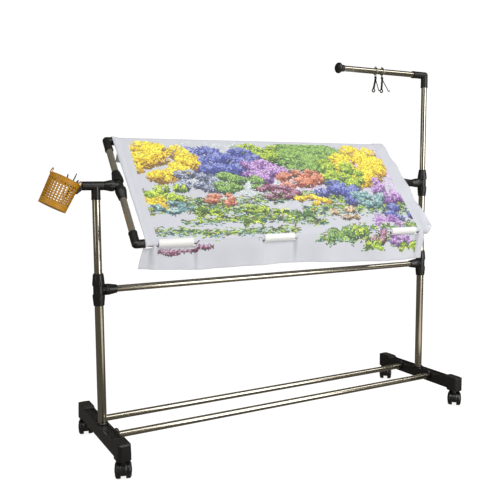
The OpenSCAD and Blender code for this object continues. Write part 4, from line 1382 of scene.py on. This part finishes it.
@dataclass
class HangingClip:
    """One wire clip: ring with a knob, twisted leg with an eye, and thin leg with a hook."""

    key: str
    lean: float
    jaw_lean: float
    ring: float = 0.0113
    wire: float = 0.0017
    drop: float = 0.038
    eye: float = 0.0052
    hook: float = 0.0042
    eye_wire: float = 0.0022
    hook_wire: float = 0.0016
    ball: float = 0.0034
    ball_gap: float = 0.0016
    knuckle_drop: float = 0.0064
    strand: float = 0.0018
    strand_wire: float = 0.0019
    strand_deep: float = -0.0020
    turns: int = 5
    side: float = 0.0017
    knob: Profile = ((0.0, 0.0), (0.0034, 0.0), (0.0036, 0.0026), (0.0024, 0.0046), (0.0, 0.0050))
    knuckle: Profile = ((0.0033, -0.0014), (0.0033, 0.0014), (0.0, 0.0015))

    def build(self, ring_skin: Material, wire_skin: Material) -> None:
        """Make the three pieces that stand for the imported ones.

        Args:
            ring_skin: Finish of the ring.
            wire_skin: Finish of the legs.
        """
        bar_z = float(centre("accessory_bar")[2])
        x = float(centre(f"clip_ring_{self.key}")[0])
        bead = bar_z - self.ring - self.wire - self.ball_gap
        knuckle = bead - self.knuckle_drop
        made = ((self._loop(x, bar_z, bead), "ring", ring_skin, f"clip_ring_{self.key}", "clip_ring"),
                (self._twisted(x, knuckle), "leg", wire_skin, f"clip_{self.key}", "clip_body"),
                (self._hook(x, knuckle), "hook", wire_skin, f"clip_{self.key}_jaw", "clip_jaw"))
        for shape, name, skin, body, node in made:
            place_piece(shape.build(f"{name}_{self.key}"), skin, body,
                        [f"{node}_{self.key}"])

    def _loop(self, x: float, bar_z: float, bead: float) -> Surface:
        """Shape the ring round the bar, with a knob on its top and a ball under it.

        Args:
            x: Place of the clip along the bar.
            bar_z: Height of the bar.
            bead: Height of the ball.

        Returns:
            The ring.
        """
        loop = Surface().ring((x, 0, bar_z), self.ring, self.wire, (Y, Z), 350, 36, 12)
        loop.turned(self.knob, (x, 0, bar_z + self.ring + 0.0004), steps=20)
        a = np.radians(np.arange(-90, 91, 15))
        ball = self.ball * np.stack([np.cos(a), np.sin(a)], -1)
        return loop.turned(ball, (x, 0, bead), steps=24)

    def _twisted(self, x: float, z: float) -> Surface:
        """Wind two strands about a leaning line, and add the eye under them.

        At a share t of the way down a strand stands off the line by strand * (cos a, sin a), where
        a goes round as many times as turns says.

        Args:
            x: Place of the clip along the bar.
            z: Height of the knuckle.

        Returns:
            The leg.
        """
        leg = Surface().turned(self.knuckle, (x, -self.side, z), (0, -1, 0), 24)
        t = np.linspace(0, 1, 60)
        for start in (0, math.pi):
            a = start + 2 * math.pi * self.turns * t
            across = x + self.lean * t + self.strand * np.cos(a)
            deep = self.strand_deep + self.strand * np.sin(a)
            leg.swept(as_points(across, deep, z - self.drop * t),
                      self.strand_wire - 0.0004 * np.cos(2 * a), 8)
        middle = (x + self.lean, -self.side, z - self.drop - self.eye)
        return leg.ring(middle, self.eye, self.eye_wire, (X, Z), 350, 32, 10)

    def _hook(self, x: float, z: float) -> Surface:
        """Shape a thin straight leg that ends in a round hook turned outwards.

        Args:
            x: Place of the clip along the bar.
            z: Height of the knuckle.

        Returns:
            The leg.
        """
        leg = Surface().turned(self.knuckle, (x, self.side, z), Y, 24)
        t = np.linspace(0, 1, 12)
        line = as_points(x + self.jaw_lean * t, self.side, z - self.drop * t)
        middle = (x + self.jaw_lean + self.hook, self.side, z - self.drop)
        end = arc(middle, self.hook, 180, 350, X, Z, 14)
        return leg.swept(np.concatenate([line, end[1:]]), self.hook_wire, 10)


@dataclass(frozen=True)
class Tool:
    """One thin tool, in the basket's own axes."""

    foot: float
    top: float
    y: float
    high: float
    r: float
    coloured: bool = False


@dataclass
class BasketTrim:
    """Rolled rims of the basket and the thin tools that stand in it."""

    radius: float = 0.042
    low_radius: float = 0.0385
    height: float = 0.084
    floor: float = 0.0024
    tilt: float = math.radians(27)
    tools: tuple[Tool, ...] = (
        Tool(0.018, -0.002, -0.015, 0.100, 0.0020), Tool(0.020, 0.0223, 0.003, 0.1137, 0.0018, True),
        Tool(0.0096, 0.032, -0.006, 0.099, 0.0026), Tool(0.0139, 0.038, 0.012, 0.096, 0.0022))

    def build(self, skin: Material, dark: Material, teal: Material) -> None:
        """Make the rims and the tools on the basket's own leaning axes.

        Args:
            skin: Finish of the basket.
            dark: Finish of the dark tools.
            teal: Finish of the coloured tool.
        """
        spot = self._spot()
        rims = Surface()
        beads = ((self.radius - 0.001, self.height, 0.0017), (self.low_radius - 0.0004, 0.0012, 0.0012),
                 (self.radius - 0.0008, self.height - 0.011, 0.0010))
        for r, z, bead in beads:
            rims.ring((0, 0, z), r, bead, (X, Y), 355, 72, 10)
        place_piece(rims.moved(spot).build("basket_rims"), skin, "basket")
        handles, pick = Surface(), Surface()
        t = np.linspace(0, 1, 24)
        for tool in self.tools:
            rise = self.floor + tool.r + (tool.high - self.floor - 2 * tool.r) * t
            path = as_points(tool.foot + (tool.top - tool.foot) * t, tool.y, rise)
            thick = tool.r * (0.55 + 0.45 * ease(t, 0.45, 0.6)) * (1 - 0.25 * ease(t, 0.9, 1.0))
            held = pick if tool.coloured else handles
            held.swept(path, thick, 12)
        place_piece(handles.moved(spot).build("dark_tools"), dark, "basket",
                    ["basket_tools"])
        place_piece(pick.moved(spot).build("teal_tool"), teal, "basket")

    def _spot(self) -> Matrix:
        """Find the basket's own axes: a turn about Y by the tilt, then a move to its foot.

        Returns:
            The matrix from the basket's axes to the stand's.
        """
        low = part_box("basket")[0]
        foot = Vector((float(low[0]) + self.low_radius * math.cos(self.tilt), 0.0,
                       float(low[2]) + self.low_radius * math.sin(self.tilt)))
        return Matrix.Translation(foot) @ Matrix.Rotation(self.tilt, 4, "Y")


class StandBody:
    """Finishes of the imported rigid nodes."""

    def __init__(self, frame_size: Frame) -> None:
        """Hold the tilting frame's places."""
        self.frame = frame_size

    def dress(self) -> None:
        """Give every rigid node its finish."""
        black = BLACK.make()
        corners = ("fl", "fr", "rl", "rr")
        dress(PolishedTube(Axis.X).make(), "low_bar_front", "low_bar_rear", "mid_bar", "top_bar",
              "bottom_bar", "pivot_stubs", "accessory_bar")
        dress(PolishedTube(Axis.Z).make(), "lower_tube_left", "lower_tube_right",
              "upper_tube_left", "upper_tube_right", "post_tube")
        dress(PolishedTube(Axis.Z, self.frame.lean, metal=0.87).make(), "arm_left", "arm_right")
        dress(black, "foot_left", "foot_right", "mid_tee_left", "mid_tee_right", "mid_tee_nuts",
              "height_collets", "caster_sockets", "upright_fixings", "top_tee_left",
              "top_tee_right", "top_tee_nuts", "arm_tee_left", "arm_tee_right", "arm_tee_nuts",
              "top_elbows", "bottom_elbows", "post_elbow", "end_knob", "basket_bracket")
        bright, wire = PLATED.make(), DARK_WIRE.make()
        orange, tool, tread = ORANGE.make(), TOOL.make(), WHEEL.make()
        dress(WHITE.make(), "slide_guides", "cloth_clips")
        dress(bright, "low_bar_screws", "clip_ring_a", "clip_ring_b",
              *(f"caster_pins_{corner}" for corner in corners))
        dress(wire, "clip_body_a", "clip_body_b", "clip_jaw_a", "clip_jaw_b")
        dress(orange, "basket")
        dress(tool, "basket_tools")
        dress(tread, *(f"caster_{part}_{corner}" for corner in corners for part in ("hood", "wheels")))
        bar_y = abs(float(centre("low_bar_front")[1]))
        for name, side in (("left", -1), ("right", 1)):
            FootTrim(name, side * HALF_SPAN, -side, bar_y).build(black)
        for corner in corners:
            CasterTrim(corner).build(tread)
        HangingClip("a", -0.009, 0.015).build(bright, wire)
        HangingClip("b", -0.003, 0.028).build(bright, wire)
        BasketTrim().build(orange, tool, TEAL.make())


@dataclass
class Studio:
    """Camera, pale floor, white surroundings and soft lights."""

    place: Vector = field(default_factory=lambda: Vector((-1.12016, -1.83983, 0.78846)))
    pan: float = math.radians(-28.733)
    pitch: float = math.radians(-5.999)
    roll: float = math.radians(-0.282)
    lens: float = 48.59
    warm: Colour = (1.0, 0.93, 0.80)
    skies: tuple[tuple[Colour, float], ...] = (
        ((1.0, 1.0, 1.0), 1.05), ((1.0, 0.99, 0.98), 0.55), (warm, 0.14))
    floor_glow: float = 1.34
    floor_share: float = 0.66
    # Strength of the floor's glow seen by mirror rays, and the extra glow of the painted reflection patch
    # in front.
    dusk: float = 0.13
    patch: float = 0.85

    def camera(self) -> None:
        """Set up the camera; roll turns it about its own view axis."""
        data = bpy.data.cameras.new("camera")
        data.lens, data.sensor_width = self.lens, 36.0
        camera = bpy.data.objects.new("camera", data)
        bpy.context.scene.collection.objects.link(camera)
        camera.matrix_world = (Matrix.Translation(self.place) @ Matrix.Rotation(self.pan, 4, "Z")
                               @ Matrix.Rotation(math.pi / 2 + self.pitch, 4, "X")
                               @ Matrix.Rotation(self.roll, 4, "Z"))
        bpy.context.scene.camera = camera

    def backdrop(self) -> None:
        """White for camera and glass rays, dark and warm for mirror rays, soft grey for the rest."""
        world = bpy.data.worlds.new("studio")
        bpy.context.scene.world = world
        world.use_nodes = True
        graph = Graph(world.node_tree)
        white, grey, warm = (graph.node("ShaderNodeBackground", {}, {"Color": colour, "Strength": strength})
                             for colour, strength in self.skies)
        seen = graph.choose(graph.ray("Is Glossy Ray"), grey, warm)
        seen = graph.choose(graph.ray("Is Transmission Ray"), seen, white)
        seen = graph.choose(graph.ray("Is Camera Ray"), seen, white)
        graph.node("ShaderNodeOutputWorld", {}, {"Surface": seen})

    def floor(self) -> None:
        """Lay a wide pale floor that keeps a faint shadow and melts into the white.

        Mirror rays see it glow dark and warm, and a brighter glowing patch in front paints a reflected
        highlight streak on the tubes.
        """
        side = np.linspace(-30, 30, 3)
        floor = Surface().grid(as_points(*lattice(side, side), 0.0)).build("studio_floor")
        shader = Shader("studio_floor")
        tone = shader.noise(shader.place(), 3.0)
        shader.finish(Base_Color=shader.mix(tone, (0.80, 0.78, 0.74), (0.83, 0.81, 0.77)), Roughness=0.9,
                      Specular_IOR_Level=0.1)
        glow = shader.node("ShaderNodeEmission", {}, {
            "Color": (1.0, 1.0, 1.0), "Strength": self.floor_glow})
        across, deep, _ = shader.parts(shader.place())
        # Painted reflection: a glowing patch in front of the stand, seen only by mirror rays, that lights a
        # highlight streak on the tubes.
        painted_reflection_patch = deep.step(-0.45, -0.75) * across.step(-0.25, 0.05) * (1 - across.step(1.1, 1.5))
        dusk = shader.node("ShaderNodeEmission", {}, {
            "Color": self.warm, "Strength": self.dusk + self.patch * painted_reflection_patch})
        seen = shader.choose(shader.ray("Is Camera Ray") * self.floor_share,
                             Wire(shader, shader.skin.outputs[0]), glow)
        seen = shader.choose(shader.ray("Is Glossy Ray"), seen, dusk)
        shader.plug(shader.output.inputs["Surface"], seen)
        floor.data.materials.append(shader.material)

    def light(self, name: str, place: Sequence[float], aim: Sequence[float],
              size: tuple[float, float], power: float) -> None:
        """Hang one soft light.

        Args:
            name: Name of the light.
            place: Where it hangs.
            aim: Point that it faces.
            size: Its width and height.
            power: Watts.
        """
        data = bpy.data.lights.new(name, "AREA")
        data.shape = "RECTANGLE"
        data.size, data.size_y, data.energy = *size, power
        lamp = bpy.data.objects.new(name, data)
        bpy.context.scene.collection.objects.link(lamp)
        way = Vector(aim) - Vector(place)
        lamp.matrix_world = Matrix.Translation(place) @ way.to_track_quat("-Z", "Y").to_matrix().to_4x4()

    def build(self) -> None:
        """Set up the whole studio."""
        bpy.context.scene.view_settings.view_transform = "Standard"
        self.camera()
        self.backdrop()
        self.floor()
        self.light("front", (1.4, -2.9, 1.2), (0.1, 0, 0.7), (1.3, 2.4), 52)
        self.light("left", (-3.2, -1.0, 1.4), (0, 0, 0.6), (0.8, 2.2), 9)
        self.light("over", (0.0, -1.7, 2.6), (0, 0, 0.4), (6.0, 0.7), 60)


def main() -> None:
    """Dress the stand, build its cloth and detail, and set up the studio."""
    tilting = Frame()
    StandBody(tilting).dress()
    Cloth(tilting).build()
    Studio().build()


if __name__ == "__main__":
    main()
